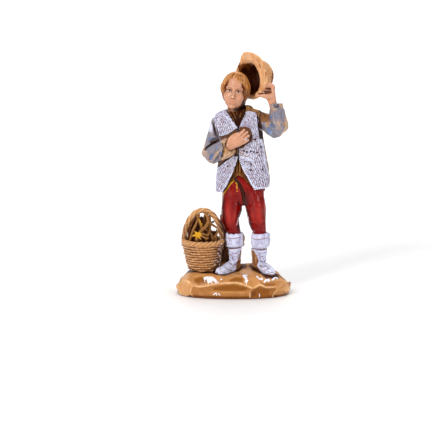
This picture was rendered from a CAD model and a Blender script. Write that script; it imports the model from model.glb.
import math

import bpy
import numpy as np
from mathutils import Matrix, Vector
from mathutils.bvhtree import BVHTree


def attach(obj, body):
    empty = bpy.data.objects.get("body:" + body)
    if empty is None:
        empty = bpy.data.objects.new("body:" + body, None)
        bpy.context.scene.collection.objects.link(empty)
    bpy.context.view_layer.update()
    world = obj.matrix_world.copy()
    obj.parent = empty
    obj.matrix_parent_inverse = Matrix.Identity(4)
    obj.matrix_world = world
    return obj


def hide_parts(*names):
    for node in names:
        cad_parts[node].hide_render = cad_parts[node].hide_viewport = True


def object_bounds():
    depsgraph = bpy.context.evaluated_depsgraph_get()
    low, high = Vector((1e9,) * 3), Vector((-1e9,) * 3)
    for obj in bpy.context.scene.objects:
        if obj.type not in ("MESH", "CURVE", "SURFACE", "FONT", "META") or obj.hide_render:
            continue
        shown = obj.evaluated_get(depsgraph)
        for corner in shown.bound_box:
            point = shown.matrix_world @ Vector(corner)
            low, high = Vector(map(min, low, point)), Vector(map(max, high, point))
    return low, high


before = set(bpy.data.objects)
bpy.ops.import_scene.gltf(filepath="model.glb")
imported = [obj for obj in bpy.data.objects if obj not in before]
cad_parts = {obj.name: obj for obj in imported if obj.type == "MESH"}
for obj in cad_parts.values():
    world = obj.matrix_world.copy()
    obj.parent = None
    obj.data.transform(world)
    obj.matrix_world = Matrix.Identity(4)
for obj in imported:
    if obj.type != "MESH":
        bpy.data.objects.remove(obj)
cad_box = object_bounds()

# A moulded, hand-painted crib figure. Everything is modelled in millimetres and turned into metres
# when a piece is finished. The boy faces -Y; right and left are his own.

MM = 0.001

# Camera and picture

EYE = np.array([-7.2, -551.5, 131.7])
EYE_DISTANCE = 560  # from the eye to the middle of the figure
TILT = math.radians(10)
ACROSS = np.array([1.0, 0.0, 0.0])
AHEAD = np.array([0.0, math.cos(TILT), -math.sin(TILT)])
RISING = np.array([0.0, math.sin(TILT), math.cos(TILT)])
PICTURE = 435  # steps across the picture, and down it
PICTURE_MM = 0.45  # what one step measures on the figure
VIEW_ANGLE = 2 * math.atan(PICTURE * PICTURE_MM / 2 / EYE_DISTANCE)
FOCAL = PICTURE / 2 / math.tan(VIEW_ANGLE / 2)


def in_picture(points):
    """Where points of the figure fall in the picture: across and down."""
    d = points - EYE
    depth = d @ AHEAD
    across = PICTURE / 2 + FOCAL * (d @ ACROSS) / depth
    down = PICTURE / 2 - FOCAL * (d @ RISING) / depth
    return np.stack([across, down], 1)


def from_picture(places):
    """Points of the figure from where they show, [across, down, y]: y is how far back they lie."""
    u, v, y = np.asarray(places, float).T
    k = (PICTURE / 2 - v) / FOCAL
    back = y - EYE[1]
    rise = back * (k * math.cos(TILT) - math.sin(TILT)) / (math.cos(TILT) + k * math.sin(TILT))
    depth = back * math.cos(TILT) - rise * math.sin(TILT)
    return np.stack([(u - PICTURE / 2) * depth / FOCAL + EYE[0], y, EYE[2] + rise], 1)


def place_camera():
    data = bpy.data.cameras.new("camera")
    data.angle = VIEW_ANGLE
    data.clip_start = 0.01
    camera = bpy.data.objects.new("camera", data)
    aim = Matrix.Rotation(math.pi / 2 - TILT, 4, "X")
    camera.matrix_world = Matrix.Translation(Vector(EYE * MM)) @ aim
    bpy.context.scene.collection.objects.link(camera)
    bpy.context.scene.camera = camera


# Noise, curves and easing

DICE = np.random.default_rng(7).random(1 << 16)


def grain(points, size, seed=0):
    """Smooth noise from -1 to 1 whose lumps have that size, one number or one per axis."""
    q = points / np.asarray(size, float) + 512.0
    cell = np.floor(q).astype(np.int64)
    f = q - cell
    f = f * f * (3 - 2 * f)
    total = np.zeros(len(points))
    for corner in range(8):
        step = np.array([corner & 1, corner >> 1 & 1, corner >> 2])
        c = cell + step
        key = (c[:, 0] * 73856093 ^ c[:, 1] * 19349663 ^ c[:, 2] * 83492791 ^ (seed + 1) * 40503) & 0xFFFF
        total += np.prod(np.where(step, f, 1 - f), axis=1) * DICE[key]
    return 2 * total - 1


def combed(across, along, width, length, seed=0):
    """Tufts that lie side by side and end to end, from 0 in the grooves to 1 on their backs."""
    column = np.floor(across / width)
    t = across / width - column
    key = column.astype(np.int64)
    start = DICE[(key * 7919 + seed * 131) & 0xFFFF]
    v = along / length + start
    row = np.floor(v)
    step = v - row
    grown = 0.62 + 0.38 * DICE[(key * 104729 + row.astype(np.int64) * 1299709 + seed) & 0xFFFF]
    tip = 0.45 + 0.55 * ease(0, 0.14, step) * ease(1, 0.8, step)
    return np.sin(np.pi * t) ** 0.9 * tip * grown


def ease(low, high, x):
    """A soft step from 0 at low to 1 at high."""
    t = np.clip((x - low) / (high - low), 0, 1)
    return t * t * (3 - 2 * t)


def curve(points, steps=6):
    """A smooth line through points."""
    p = np.asarray(points, float)
    if len(p) < 3:
        return p
    ends = np.vstack([2 * p[0] - p[1], p, 2 * p[-1] - p[-2]])
    line = []
    for i in range(len(p) - 1):
        a, b, c, d = ends[i : i + 4]
        for t in np.arange(steps) / steps:
            bent = 2 * b + (c - a) * t + (2 * a - 5 * b + 4 * c - d) * t**2
            line.append(0.5 * (bent + (3 * b - a - 3 * c + d) * t**3))
    return np.array(line + [p[-1]])


def to_line(points, line):
    """Each point's distance from a line, and how far along it that is, from 0 to 1."""
    best = np.full(len(points), np.inf)
    share = np.zeros(len(points))
    lengths = np.linalg.norm(np.diff(line, axis=0), axis=1)
    before = np.concatenate([[0], np.cumsum(lengths)])
    for i, (a, b) in enumerate(zip(line, line[1:])):
        ab = b - a
        t = np.clip(((points - a) @ ab) / max(ab @ ab, 1e-12), 0, 1)
        away = points - a - t[:, None] * ab
        d = np.linalg.norm(away, axis=1)
        closer = d < best
        best[closer] = d[closer]
        share[closer] = ((before[i] + t * lengths[i]) / before[-1])[closer]
    return best, share


def away_from(outline, points):
    """How far flat points lie outside a closed outline, under 0 inside."""
    ring = np.asarray(outline, float)
    u, v = points.T
    inside = np.zeros(len(points), bool)
    for (x1, y1), (x2, y2) in zip(ring, np.roll(ring, -1, 0)):
        cross = (y1 > v) != (y2 > v)
        inside ^= cross & (u < (x2 - x1) * (v - y1) / (y2 - y1 + 1e-12) + x1)
    distance = to_line(points, np.vstack([ring, ring[:1]]))[0]
    return np.where(inside, -distance, distance)


# Clay: solid forms blended together

EMPTY = 5.0  # the distance that stands for no clay near


class Lump:
    """A block of clay that forms are pressed into and blended with, then skinned."""

    def __init__(self, low, high, step):
        self.low = np.asarray(low, float)
        self.step = step
        self.size = np.ceil((np.asarray(high) - self.low) / step).astype(int) + 1
        self.field = np.full(self.size, EMPTY, np.float32)

    def part(self, low, high, reach):
        """The part of the block within reach of a box, as slices and as places."""
        first = np.floor((np.asarray(low) - reach - self.low) / self.step).astype(int)
        last = np.ceil((np.asarray(high) + reach - self.low) / self.step).astype(int) + 1
        a, b = np.clip(first, 0, self.size), np.clip(last, 0, self.size)
        axes = [self.low[k] + self.step * np.arange(a[k], b[k]) for k in range(3)]
        grid = np.stack(np.meshgrid(*axes, indexing="ij"), -1)
        return tuple(slice(a[k], b[k]) for k in range(3)), grid

    def blend(self, where, distance, soft):
        """Adds a form, with a fillet as wide as soft."""
        old = self.field[where]
        if soft <= 0:
            self.field[where] = np.minimum(old, distance)
            return
        h = np.clip(0.5 + 0.5 * (distance - old) / soft, 0, 1)
        self.field[where] = distance * (1 - h) + old * h - soft * h * (1 - h)

    def carve(self, where, distance, soft):
        """Takes a form away, with its edge rounded as much as soft."""
        old = self.field[where]
        h = np.clip(0.5 - 0.5 * (old + distance) / max(soft, 1e-6), 0, 1)
        self.field[where] = old * (1 - h) - distance * h + soft * h * (1 - h)

    def egg(self, centre, radii, soft=0.5, turn=None, hollow=False):
        """An egg shape with three half axes, turned by a 3x3 matrix."""
        centre = np.asarray(centre, float)
        radii = np.asarray(radii, float)
        reach = radii.max() + 2 * soft + 0.6
        where, grid = self.part(centre, centre, reach)
        p = grid - centre
        if turn is not None:
            p = p @ turn
        near = np.linalg.norm(p / radii, axis=-1)
        far = np.linalg.norm(p / radii**2, axis=-1)
        distance = near * (near - 1) / np.maximum(far, 1e-6)
        (self.carve if hollow else self.blend)(where, distance, soft)

    def rod(self, line, radii, soft=0.3, hollow=False, flat=None):
        """A rod of changing radius along a line. flat = (direction, share) thins it one way."""
        line = np.asarray(line, float)
        radii = np.interp(np.linspace(0, 1, len(line)), np.linspace(0, 1, len(radii)), radii)
        reach = radii.max() + 2 * soft + 0.6
        where, grid = self.part(line.min(0), line.max(0), reach)
        distance = np.full(grid.shape[:3], 9.0)
        for a, b, ra, rb in zip(line, line[1:], radii, radii[1:]):
            ab = b - a
            t = np.clip(((grid - a) @ ab) / max(ab @ ab, 1e-9), 0, 1)
            away = grid - a - t[..., None] * ab
            if flat is not None:
                n = np.asarray(flat[0], float) / np.linalg.norm(flat[0])
                away = away + ((away @ n) * (1 / flat[1] - 1))[..., None] * n
            r = ra + (rb - ra) * t
            distance = np.minimum(distance, np.linalg.norm(away, axis=-1) - r)
        (self.carve if hollow else self.blend)(where, distance, soft)

    def cut_front(self, outline, back, soft=0.3):
        """Cuts an outline of [x, z] away from the front, up to y = back."""
        x, y, z = (self.low[k] + self.step * np.arange(self.size[k]) for k in range(3))
        gx, gz = np.meshgrid(x, z, indexing="ij")
        flat = np.stack([gx.ravel(), gz.ravel()], 1)
        distance = away_from(outline, flat).reshape(gx.shape)[:, None, :]
        tool = np.maximum(distance, (y - back)[None, :, None]).astype(np.float32)
        everywhere = (slice(None),) * 3
        self.carve(everywhere, tool, soft)

    def skin(self):
        """The surface of the lump."""
        f = self.field
        f[[0, -1]] = f[:, [0, -1]] = f[:, :, [0, -1]] = EMPTY
        cells = tuple(n - 1 for n in f.shape)
        total = np.zeros(cells + (3,), np.float32)
        count = np.zeros(cells, np.int16)
        crossings = []
        for axis in range(3):
            one = np.take(f, range(f.shape[axis] - 1), axis)
            two = np.take(f, range(1, f.shape[axis]), axis)
            hit = np.argwhere((one < 0) != (two < 0))
            v1, v2 = one[tuple(hit.T)], two[tuple(hit.T)]
            place = hit.astype(np.float32)
            place[:, axis] += v1 / (v1 - v2)
            others = [k for k in range(3) if k != axis]
            keep = np.all([(hit[:, k] > 0) & (hit[:, k] < cells[k]) for k in others], axis=0)
            hit, place, inward = hit[keep], place[keep], (v1 < 0)[keep]
            ring = []
            for da, db in ((0, 0), (1, 0), (1, 1), (0, 1)):
                cell = hit.copy()
                cell[:, others[0]] -= da
                cell[:, others[1]] -= db
                index = np.ravel_multi_index(cell.T, cells)
                ring.append(index)
                np.add.at(total.reshape(-1, 3), index, place)
                np.add.at(count.reshape(-1), index, 1)
            ring = np.stack(ring, 1)
            flip = inward if axis == 1 else ~inward
            ring[flip] = ring[flip][:, ::-1]
            crossings.append(ring)
        used = np.flatnonzero(count.reshape(-1))
        number = np.zeros(count.size, np.int64)
        number[used] = np.arange(len(used))
        points = total.reshape(-1, 3)[used] / count.reshape(-1)[used, None]
        return Skin(points * self.step + self.low, number[np.vstack(crossings)])


def remeshed(points, faces, voxel):
    """Closed shells fused into one even skin."""
    mesh = bpy.data.meshes.new("raw")
    mesh.from_pydata(points.tolist(), [], [list(f) for f in faces])
    raw = bpy.data.objects.new("raw", mesh)
    bpy.context.scene.collection.objects.link(raw)
    tool = raw.modifiers.new("fuse", "REMESH")
    tool.mode = "VOXEL"
    tool.voxel_size = voxel
    graph = bpy.context.evaluated_depsgraph_get()
    done = bpy.data.meshes.new_from_object(raw.evaluated_get(graph))
    co = np.empty(len(done.vertices) * 3, np.float32)
    done.vertices.foreach_get("co", co)
    quads = np.empty(len(done.loops), np.int32)
    done.loops.foreach_get("vertex_index", quads)
    bpy.data.objects.remove(raw)
    bpy.data.meshes.remove(mesh)
    bpy.data.meshes.remove(done)
    return co.reshape(-1, 3).astype(float), quads.reshape(-1, 4)


def node_shell(*names):
    """The corners and faces of frame nodes, in millimetres."""
    points, faces = [], []
    for name in names:
        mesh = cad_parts[name].data
        merged = {}
        index = []
        for v in mesh.vertices:
            key = tuple(round(c * 1e6) for c in v.co)
            index.append(merged.setdefault(key, len(merged)))
        start = sum(len(p) for p in points)
        points.append(np.array(list(merged), float) * 1e-3)
        faces += [[start + index[i] for i in p.vertices] for p in mesh.polygons]
    return np.vstack(points), faces


# Modelling a skin

class Skin:
    """A dense surface that is smoothed, pressed and painted point by point."""

    def __init__(self, points, quads):
        self.co = np.asarray(points, float)
        self.quads = np.asarray(quads)
        q = self.quads
        edges = np.vstack([q[:, [0, 1]], q[:, [1, 2]], q[:, [2, 3]], q[:, [3, 0]]])
        self.one, self.two = edges.T
        self.degree = np.maximum(np.bincount(self.one, minlength=len(self.co)), 1)[:, None]
        self.masks = {}
        self.outer = None
        self.turn()

    def turn(self):
        """Finds the normals again after the points have moved."""
        a, b, c, d = (self.co[self.quads[:, k]] for k in range(4))
        face = np.cross(c - a, d - b)
        n = np.zeros_like(self.co)
        for k in range(4):
            for axis in range(3):
                n[:, axis] += np.bincount(self.quads[:, k], face[:, axis], len(self.co))
        self.normal = n / np.maximum(np.linalg.norm(n, axis=1), 1e-12)[:, None]
        self.picture = in_picture(self.co)
        self.facing = -(self.normal @ AHEAD)
        return self

    def average(self, values):
        """The mean of each point's neighbours."""
        flat = values.reshape(len(values), -1)
        sums = [np.bincount(self.one, column, len(self.co)) for column in flat[self.two].T]
        return (np.stack(sums, 1) / self.degree).reshape(values.shape)

    def smooth(self, rounds, keep=None, hold=False):
        """Relaxes the skin. keep is how much each point stays, hold keeps the volume."""
        for i in range(rounds):
            share = 0.5 if not hold or i % 2 == 0 else -0.52
            move = (self.average(self.co) - self.co) * share
            if keep is not None:
                move *= (1 - keep)[:, None]
            self.co = self.co + move
        return self.turn()

    def press(self, heights):
        """Moves every point out along its normal."""
        self.co = self.co + self.normal * heights[:, None]
        return self.turn()

    def near(self, line, width):
        """The points near a line, with their distance in mm and their share along it.
        The line is drawn in the picture (2 numbers a place) or in space (3)."""
        line = curve(line)
        flat = line.shape[1] == 2
        scale = PICTURE_MM if flat else 1.0
        where = self.picture if flat else self.co
        reach = width / scale
        chosen = np.all((where > line.min(0) - reach) & (where < line.max(0) + reach), axis=1)
        if flat:
            chosen &= self.facing > 0.05
        chosen = np.flatnonzero(chosen)
        if not len(chosen):
            return chosen, np.zeros(0), np.zeros(0)
        distance, share = to_line(where[chosen], line)
        return chosen, distance * scale, share

    def stroke(self, line, width, height, fade=0.25):
        """A ridge (height over 0) or groove along a line, faded at its ends."""
        chosen, d, share = self.near(line, width)
        if not len(chosen):
            return self
        form = np.clip(1 - (d / width) ** 2, 0, 1) ** 2.0
        if fade > 0:
            form *= ease(0, fade, share) * ease(0, fade, 1 - share)
        lift = np.zeros(len(self.co))
        lift[chosen] = form * height
        return self.press(lift)

    def strokes(self, lines, times=1.0):
        """Several strokes: [line, width, height]."""
        for line, width, height in lines:
            self.stroke(line, width, times * height)
        return self

    def touch(self, line, width, fade=0.2, edge=0.5):
        """A mask from 0 to 1 along a line."""
        chosen, d, share = self.near(line, width)
        mask = np.zeros(len(self.co))
        if len(chosen):
            form = 1 - ease(width * (1 - edge), width, d)
            if fade > 0:
                form *= ease(0, fade, share) * ease(0, fade, 1 - share)
            mask[chosen] = form
        return mask

    def touches(self, lines, times=1.0, fade=0.2, edge=0.5):
        """The mask of several lines: [line, width]."""
        return self.most(self.touch(line, times * width, fade, edge) for line, width in lines)

    def most(self, masks):
        """The highest of several masks, or 0."""
        highest = np.zeros(len(self.co))
        for mask in masks:
            highest = np.maximum(highest, mask)
        return highest

    def patch(self, outline, blur=0.3):
        """A mask that is 1 inside an outline drawn in the picture."""
        distance = away_from(outline, self.picture) * PICTURE_MM
        return ease(blur, -blur, distance) * (self.facing > -0.2)

    def hollows(self, rounds=14):
        """How far each point lies under (over 0) or over (under 0) the smoothed skin, in mm."""
        flat = self.co.copy()
        for _ in range(rounds):
            flat = flat + (self.average(flat) - flat) * 0.7
        return ((flat - self.co) * self.normal).sum(1)

    def spread(self, values, rounds=14):
        """The same mask with soft edges."""
        for _ in range(rounds):
            values = self.average(values)
        return values

    def mask(self, name, values):
        self.masks[name] = np.clip(values, 0, 1)
        return self


# How closed in each place is

class Closeness:
    """How much of the room round a point is filled by the figure, from its frame nodes."""

    MARGIN = 4  # mm of free room round the figure
    NUDGE = (0.013, 0.017)  # keeps the rays off the corners of the forms
    MOST_HITS = 24

    def __init__(self, step=0.5):
        low, high = (np.array(c) / MM for c in cad_box)
        self.step = step
        self.low = low - self.MARGIN
        size = np.ceil((high + self.MARGIN - self.low) / step).astype(int)
        full = np.zeros(size, np.float32)
        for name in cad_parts:
            points, faces = node_shell(name)
            tree = BVHTree.FromPolygons(points.tolist(), faces)
            a = np.floor((points.min(0) - self.low) / step).astype(int)
            b = np.ceil((points.max(0) - self.low) / step).astype(int)
            for i in range(a[0], b[0] + 1):
                for j in range(a[1], b[1] + 1):
                    x = self.low[0] + i * step + self.NUDGE[0]
                    y = self.low[1] + j * step + self.NUDGE[1]
                    hits = self.hits(tree, x, y, points[:, 2].min() - 1)
                    for start, end in zip(hits[::2], hits[1::2]):
                        first = int((start - self.low[2]) / step + 0.5)
                        last = int((end - self.low[2]) / step + 0.5)
                        full[i, j, first:last] = 1
        self.fine = self.blurred(full, 2)
        self.wide = self.blurred(full, 6)

    def hits(self, tree, x, y, bottom):
        """The heights at which a ray straight up goes into a form and out of it."""
        heights = []
        z = bottom
        while len(heights) < self.MOST_HITS:
            hit = tree.ray_cast(Vector((x, y, z)), Vector((0, 0, 1)))[0]
            if hit is None:
                break
            heights.append(hit.z)
            z = hit.z + 1e-3
        return heights

    @staticmethod
    def blurred(full, reach):
        """The filled cells averaged over cubes, twice."""
        width = reach + 1
        for _ in range(2):
            for axis in range(3):
                start = np.zeros_like(np.take(full, [0], axis))
                run = np.cumsum(np.concatenate([start, full], axis), axis)
                n = full.shape[axis]
                high = np.clip(np.arange(n) + width // 2 + 1, 0, n)
                low = np.clip(np.arange(n) - width // 2, 0, n)
                full = (np.take(run, high, axis) - np.take(run, low, axis)) / width
        return full

    def __call__(self, skin, wide=False):
        """The share of filled room just outside each point of a skin."""
        full = self.wide if wide else self.fine
        where = skin.co if skin.outer is None else skin.outer
        q = (where + skin.normal * 0.35 - self.low) / self.step
        cell = np.clip(np.floor(q).astype(int), 0, np.array(full.shape) - 2)
        f = np.clip(q - cell, 0, 1)
        total = 0
        for corner in range(8):
            s = np.array([corner & 1, corner >> 1 & 1, corner >> 2])
            c = cell + s
            total = total + np.prod(np.where(s, f, 1 - f), axis=1) * full[c[:, 0], c[:, 1], c[:, 2]]
        return total


# Paints

def srgb(r, g, b):
    """A paint colour as seen, 0 to 255, for a shader socket."""
    linear = [((c / 255 + 0.055) / 1.055) ** 2.4 if c > 10 else c / 255 / 12.92 for c in (r, g, b)]
    return (*linear, 1.0)


UMBER = (62, 28, 8)


def group(name, inputs, outputs):
    """A node group with its sockets: inputs are (label, kind, value), outputs (label, kind)."""
    tree = bpy.data.node_groups.new(name, "ShaderNodeTree")
    for label, kind, value in inputs:
        socket = tree.interface.new_socket(label, in_out="INPUT", socket_type=kind)
        if value is not None:
            socket.default_value = value
    for label, kind in outputs:
        tree.interface.new_socket(label, in_out="OUTPUT", socket_type=kind)
    return tree, Nodes(tree), tree.nodes.new("NodeGroupInput"), tree.nodes.new("NodeGroupOutput")


class Nodes:
    """Short ways to add and link a tree's nodes."""

    def __init__(self, tree):
        self.tree = tree

    def set(self, socket, value):
        if isinstance(value, bpy.types.NodeSocket):
            self.tree.links.new(value, socket)
        elif value is not None:
            socket.default_value = value

    def math(self, operation, a, b):
        node = self.tree.nodes.new("ShaderNodeMath")
        node.operation = operation
        self.set(node.inputs[0], a)
        self.set(node.inputs[1], b)
        return node.outputs[0]

    def ramp(self, value, low, high):
        node = self.tree.nodes.new("ShaderNodeMapRange")
        node.interpolation_type = "SMOOTHSTEP"
        self.set(node.inputs["Value"], value)
        self.set(node.inputs["From Min"], low)
        self.set(node.inputs["From Max"], high)
        return node.outputs[0]

    def mix(self, share, a, b):
        """A colour between two others."""
        node = self.tree.nodes.new("ShaderNodeMix")
        node.data_type = "RGBA"
        self.set(node.inputs["Factor"], share)
        self.set(node.inputs[6], a)
        self.set(node.inputs[7], b)
        return node.outputs[2]

    def between(self, share, a, b):
        """A number between two others."""
        node = self.tree.nodes.new("ShaderNodeMix")
        self.set(node.inputs[0], share)
        self.set(node.inputs[2], a)
        self.set(node.inputs[3], b)
        return node.outputs[0]

    def place(self, stretch=(1, 1, 1)):
        """Object coordinates in millimetres, stretched."""
        coords = self.tree.nodes.new("ShaderNodeTexCoord")
        mapping = self.tree.nodes.new("ShaderNodeMapping")
        mapping.inputs["Scale"].default_value = [1000 * s for s in stretch]
        self.tree.links.new(coords.outputs["Object"], mapping.inputs["Vector"])
        return mapping.outputs[0]

    def noise(self, vector, scale, detail=3.0, rough=0.55):
        node = self.tree.nodes.new("ShaderNodeTexNoise")
        self.set(node.inputs["Vector"], vector)
        self.set(node.inputs["Scale"], scale)
        node.inputs["Detail"].default_value = detail
        node.inputs["Roughness"].default_value = rough
        return node.outputs["Fac"]

    def mask(self, name):
        node = self.tree.nodes.new("ShaderNodeAttribute")
        node.attribute_name = name
        return node.outputs["Fac"]

    def use(self, tree, values):
        node = self.tree.nodes.new("ShaderNodeGroup")
        node.node_tree = tree
        for label, value in values.items():
            self.set(node.inputs[label], value)
        return node.outputs


def make_wash():
    """Bare colour with thin brown wash run into the hollows and a light dry brush over the high places."""
    tree, n, given, result = group(
        "brown_wash",
        [
            ("Colour", "NodeSocketColor", None), ("Wash", "NodeSocketColor", srgb(*UMBER)),
            ("Light", "NodeSocketColor", None), ("Hollow", "NodeSocketFloat", 0),
            ("High", "NodeSocketFloat", 0), ("Strength", "NodeSocketFloat", 1),
        ],
        [("Colour", "NodeSocketColor"), ("Wet", "NodeSocketFloat"), ("Height", "NodeSocketFloat")],
    )
    g = given.outputs
    cloud = n.noise(n.place(), 0.35, 2)
    spread = n.noise(n.place(), 1.6, 3, 0.6)
    fine = n.noise(n.place(), 5.0, 2, 0.6)
    pools = n.math("MULTIPLY", n.math("SUBTRACT", spread, 0.5), 0.55)
    specks = n.math("MULTIPLY", n.math("SUBTRACT", fine, 0.5), 0.25)
    uneven = n.math("ADD", pools, specks)
    wet = n.math("MULTIPLY", n.ramp(n.math("ADD", g["Hollow"], uneven), 0.05, 0.68), g["Strength"])
    dry = n.ramp(n.math("ADD", g["High"], uneven), 0.3, 0.9)
    patchy = n.mix(n.ramp(cloud, 0.35, 0.7), g["Colour"], n.mix(0.16, g["Colour"], g["Wash"]))
    lit = n.mix(n.math("MULTIPLY", dry, 0.75), patchy, g["Light"])
    washed = n.mix(wet, lit, g["Wash"])
    n.set(result.inputs["Colour"], washed)
    n.set(result.inputs["Wet"], wet)
    height = n.math("ADD", n.math("MULTIPLY", fine, 0.4), n.math("MULTIPLY", spread, 0.6))
    n.set(result.inputs["Height"], height)
    return tree


def make_coat():
    """A coat of paint laid on by hand: it stops in a ragged, brushed edge and skips small spots."""
    tree, n, given, result = group(
        "brushed_coat",
        [
            ("Under", "NodeSocketColor", None), ("Paint", "NodeSocketColor", None),
            ("Mask", "NodeSocketFloat", 0), ("Ragged", "NodeSocketFloat", 0.5),
            ("Soft", "NodeSocketFloat", 0.12), ("Brush", "NodeSocketVector", None),
            ("Shade", "NodeSocketColor", None),
        ],
        [("Colour", "NodeSocketColor"), ("Cover", "NodeSocketFloat"), ("Height", "NodeSocketFloat")],
    )
    g = given.outputs
    edge = n.noise(g["Brush"], 0.8, 3, 0.65)
    hairs = n.noise(g["Brush"], 3.0, 2, 0.6)
    bristles = n.math("MULTIPLY", n.math("SUBTRACT", hairs, 0.5), 0.6)
    broken = n.math("MULTIPLY", n.math("ADD", n.math("SUBTRACT", edge, 0.5), bristles), g["Ragged"])
    start = n.math("SUBTRACT", 0.5, g["Soft"])
    end = n.math("ADD", 0.5, g["Soft"])
    cover = n.ramp(n.math("ADD", g["Mask"], broken), start, end)
    tone = n.mix(n.ramp(hairs, 0.3, 0.72), g["Shade"], g["Paint"])
    n.set(result.inputs["Colour"], n.mix(cover, g["Under"], tone))
    n.set(result.inputs["Cover"], cover)
    n.set(result.inputs["Height"], n.math("MULTIPLY", cover, hairs))
    return tree


WASH = make_wash()
COAT = make_coat()
GRAIN_MM = 0.06  # how high the grain of the paint stands


def painted(
    name, colour, light, wash=UMBER, strength=1.0, coats=(), rough=0.45, gloss=0.2, shine=0.3,
    polish=0.22, brush=(1, 1, 0.45),
):
    """A moulded plastic surface with its wash and coats of paint.
    coats are (mask, paint, shade, ragged, softness, roughness), laid one over the other.
    Colours are given as they are seen, 0 to 255."""
    material = bpy.data.materials.new(name)
    material.use_nodes = True
    tree = material.node_tree
    n = Nodes(tree)
    shader = tree.nodes["Principled BSDF"]
    base = n.use(
        WASH,
        {
            "Colour": srgb(*colour), "Light": srgb(*light), "Wash": srgb(*wash),
            "Hollow": n.mask("hollow"), "High": n.mask("high"), "Strength": strength,
        },
    )
    tone, height = base["Colour"], base["Height"]
    dull = n.math("ADD", n.math("MULTIPLY", base["Wet"], 0.12), rough)
    bristles = n.place(brush)
    for mask, paint, shade, ragged, soft, coat_rough in coats:
        coat = n.use(
            COAT,
            {
                "Under": tone, "Paint": srgb(*paint), "Shade": srgb(*shade), "Mask": n.mask(mask),
                "Ragged": ragged, "Soft": soft, "Brush": bristles,
            },
        )
        tone = coat["Colour"]
        height = n.math("ADD", height, n.math("MULTIPLY", coat["Height"], 0.8))
        dull = n.between(coat["Cover"], dull, coat_rough)
    n.set(shader.inputs["Base Color"], tone)
    n.set(shader.inputs["Roughness"], dull)
    shader.inputs["Coat Weight"].default_value = gloss
    shader.inputs["Coat Roughness"].default_value = polish
    shader.inputs["Specular IOR Level"].default_value = shine
    bump = tree.nodes.new("ShaderNodeBump")
    bump.inputs["Strength"].default_value = 1.0
    bump.inputs["Distance"].default_value = GRAIN_MM * MM
    n.set(bump.inputs["Height"], height)
    n.set(shader.inputs["Normal"], bump.outputs[0])
    return material


# Finished pieces

def piece(name, skin, material, node, washed=1.0, depth=0.22):
    """Puts a modelled skin into the scene as a painted piece that stands for its frame node.
    washed is how much wash has run into its hollows, and depth how deep the darkest are, in mm."""
    under = skin.hollows()
    shut = closed_in(skin)
    wide = closed_in(skin, wide=True)
    hollow = ease(0.0, depth, under) + 1.2 * ease(0.5, 0.8, shut) + 0.8 * ease(0.5, 0.75, wide)
    skin.masks["hollow"] = np.clip(hollow * washed + skin.masks.pop("more", 0), 0, 1.3)
    skin.masks["high"] = ease(0.0, depth, -under) * (1 - ease(0.45, 0.7, shut))
    mesh = bpy.data.meshes.new(name)
    mesh.vertices.add(len(skin.co))
    mesh.vertices.foreach_set("co", (skin.co * MM).astype(np.float32).ravel())
    mesh.loops.add(skin.quads.size)
    mesh.loops.foreach_set("vertex_index", skin.quads.astype(np.int32).ravel())
    mesh.polygons.add(len(skin.quads))
    mesh.polygons.foreach_set("loop_start", np.arange(0, skin.quads.size, 4, dtype=np.int32))
    mesh.polygons.foreach_set("use_smooth", np.ones(len(skin.quads), bool))
    mesh.update(calc_edges=True)
    for label, values in skin.masks.items():
        layer = mesh.attributes.new(label, "FLOAT", "POINT")
        layer.data.foreach_set("value", np.asarray(values, np.float32))
    mesh.materials.append(material)
    thing = bpy.data.objects.new(name, mesh)
    bpy.context.scene.collection.objects.link(thing)
    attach(thing, "root")
    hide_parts(node)


# Studio

def lay_floor():
    """A pale floor that bends up into a wall behind the figure, in metres."""
    size, bend, top = 1.4, 0.35, 1.6
    mesh = bpy.data.meshes.new("floor")
    points, faces = [], []
    profile = [(-size, 0), (bend, 0)]
    for turn in np.linspace(0.1, math.pi / 2, 14):
        profile.append((bend + bend * math.sin(turn), bend - bend * math.cos(turn)))
    profile.append((2 * bend, top))
    for y, z in profile:
        points += [(-size, y, z), (size, y, z)]
    for i in range(len(profile) - 1):
        faces.append((2 * i, 2 * i + 1, 2 * i + 3, 2 * i + 2))
    mesh.from_pydata(points, [], faces)
    for p in mesh.polygons:
        p.use_smooth = True
    material = bpy.data.materials.new("pale_floor")
    material.use_nodes = True
    n = Nodes(material.node_tree)
    shader = material.node_tree.nodes["Principled BSDF"]
    speck = n.noise(n.place(), 0.4, 3)
    n.set(shader.inputs["Base Color"], n.mix(speck, srgb(250, 250, 250), srgb(254, 254, 254)))
    shader.inputs["Roughness"].default_value = 0.6
    shader.inputs["Specular IOR Level"].default_value = 0.2
    mesh.materials.append(material)
    floor = bpy.data.objects.new("floor", mesh)
    bpy.context.scene.collection.objects.link(floor)


def lamp(name, place, aim, size, power):
    """A soft panel of light."""
    data = bpy.data.lights.new(name, "AREA")
    data.shape = "RECTANGLE"
    data.size, data.size_y = size
    data.energy = power
    light = bpy.data.objects.new(name, data)
    light.location = place
    light.rotation_euler = (Vector(aim) - Vector(place)).to_track_quat("-Z", "Y").to_euler()
    bpy.context.scene.collection.objects.link(light)


def light_studio():
    world = bpy.data.worlds.new("studio")
    world.use_nodes = True
    sky = world.node_tree.nodes["Background"]
    sky.inputs["Color"].default_value = (1, 1, 1, 1)
    sky.inputs["Strength"].default_value = 0.38
    bpy.context.scene.world = world
    middle = (0, 0, 0.055)
    lamp("key", (-0.34, -0.42, 0.30), middle, (0.13, 0.42), 2.2)
    lamp("fill", (0.42, -0.30, 0.20), middle, (0.08, 0.42), 0.7)
    lamp("top", (0.05, 0.1, 0.5), middle, (0.4, 0.3), 1.0)
    lamp("wall", (0, 0.25, 0.5), (0, 0.75, 0.35), (1.2, 0.6), 3)
    bpy.context.scene.view_settings.view_transform = "Standard"
    bpy.context.scene.view_settings.look = "None"


# The ground and the clothes

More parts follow.
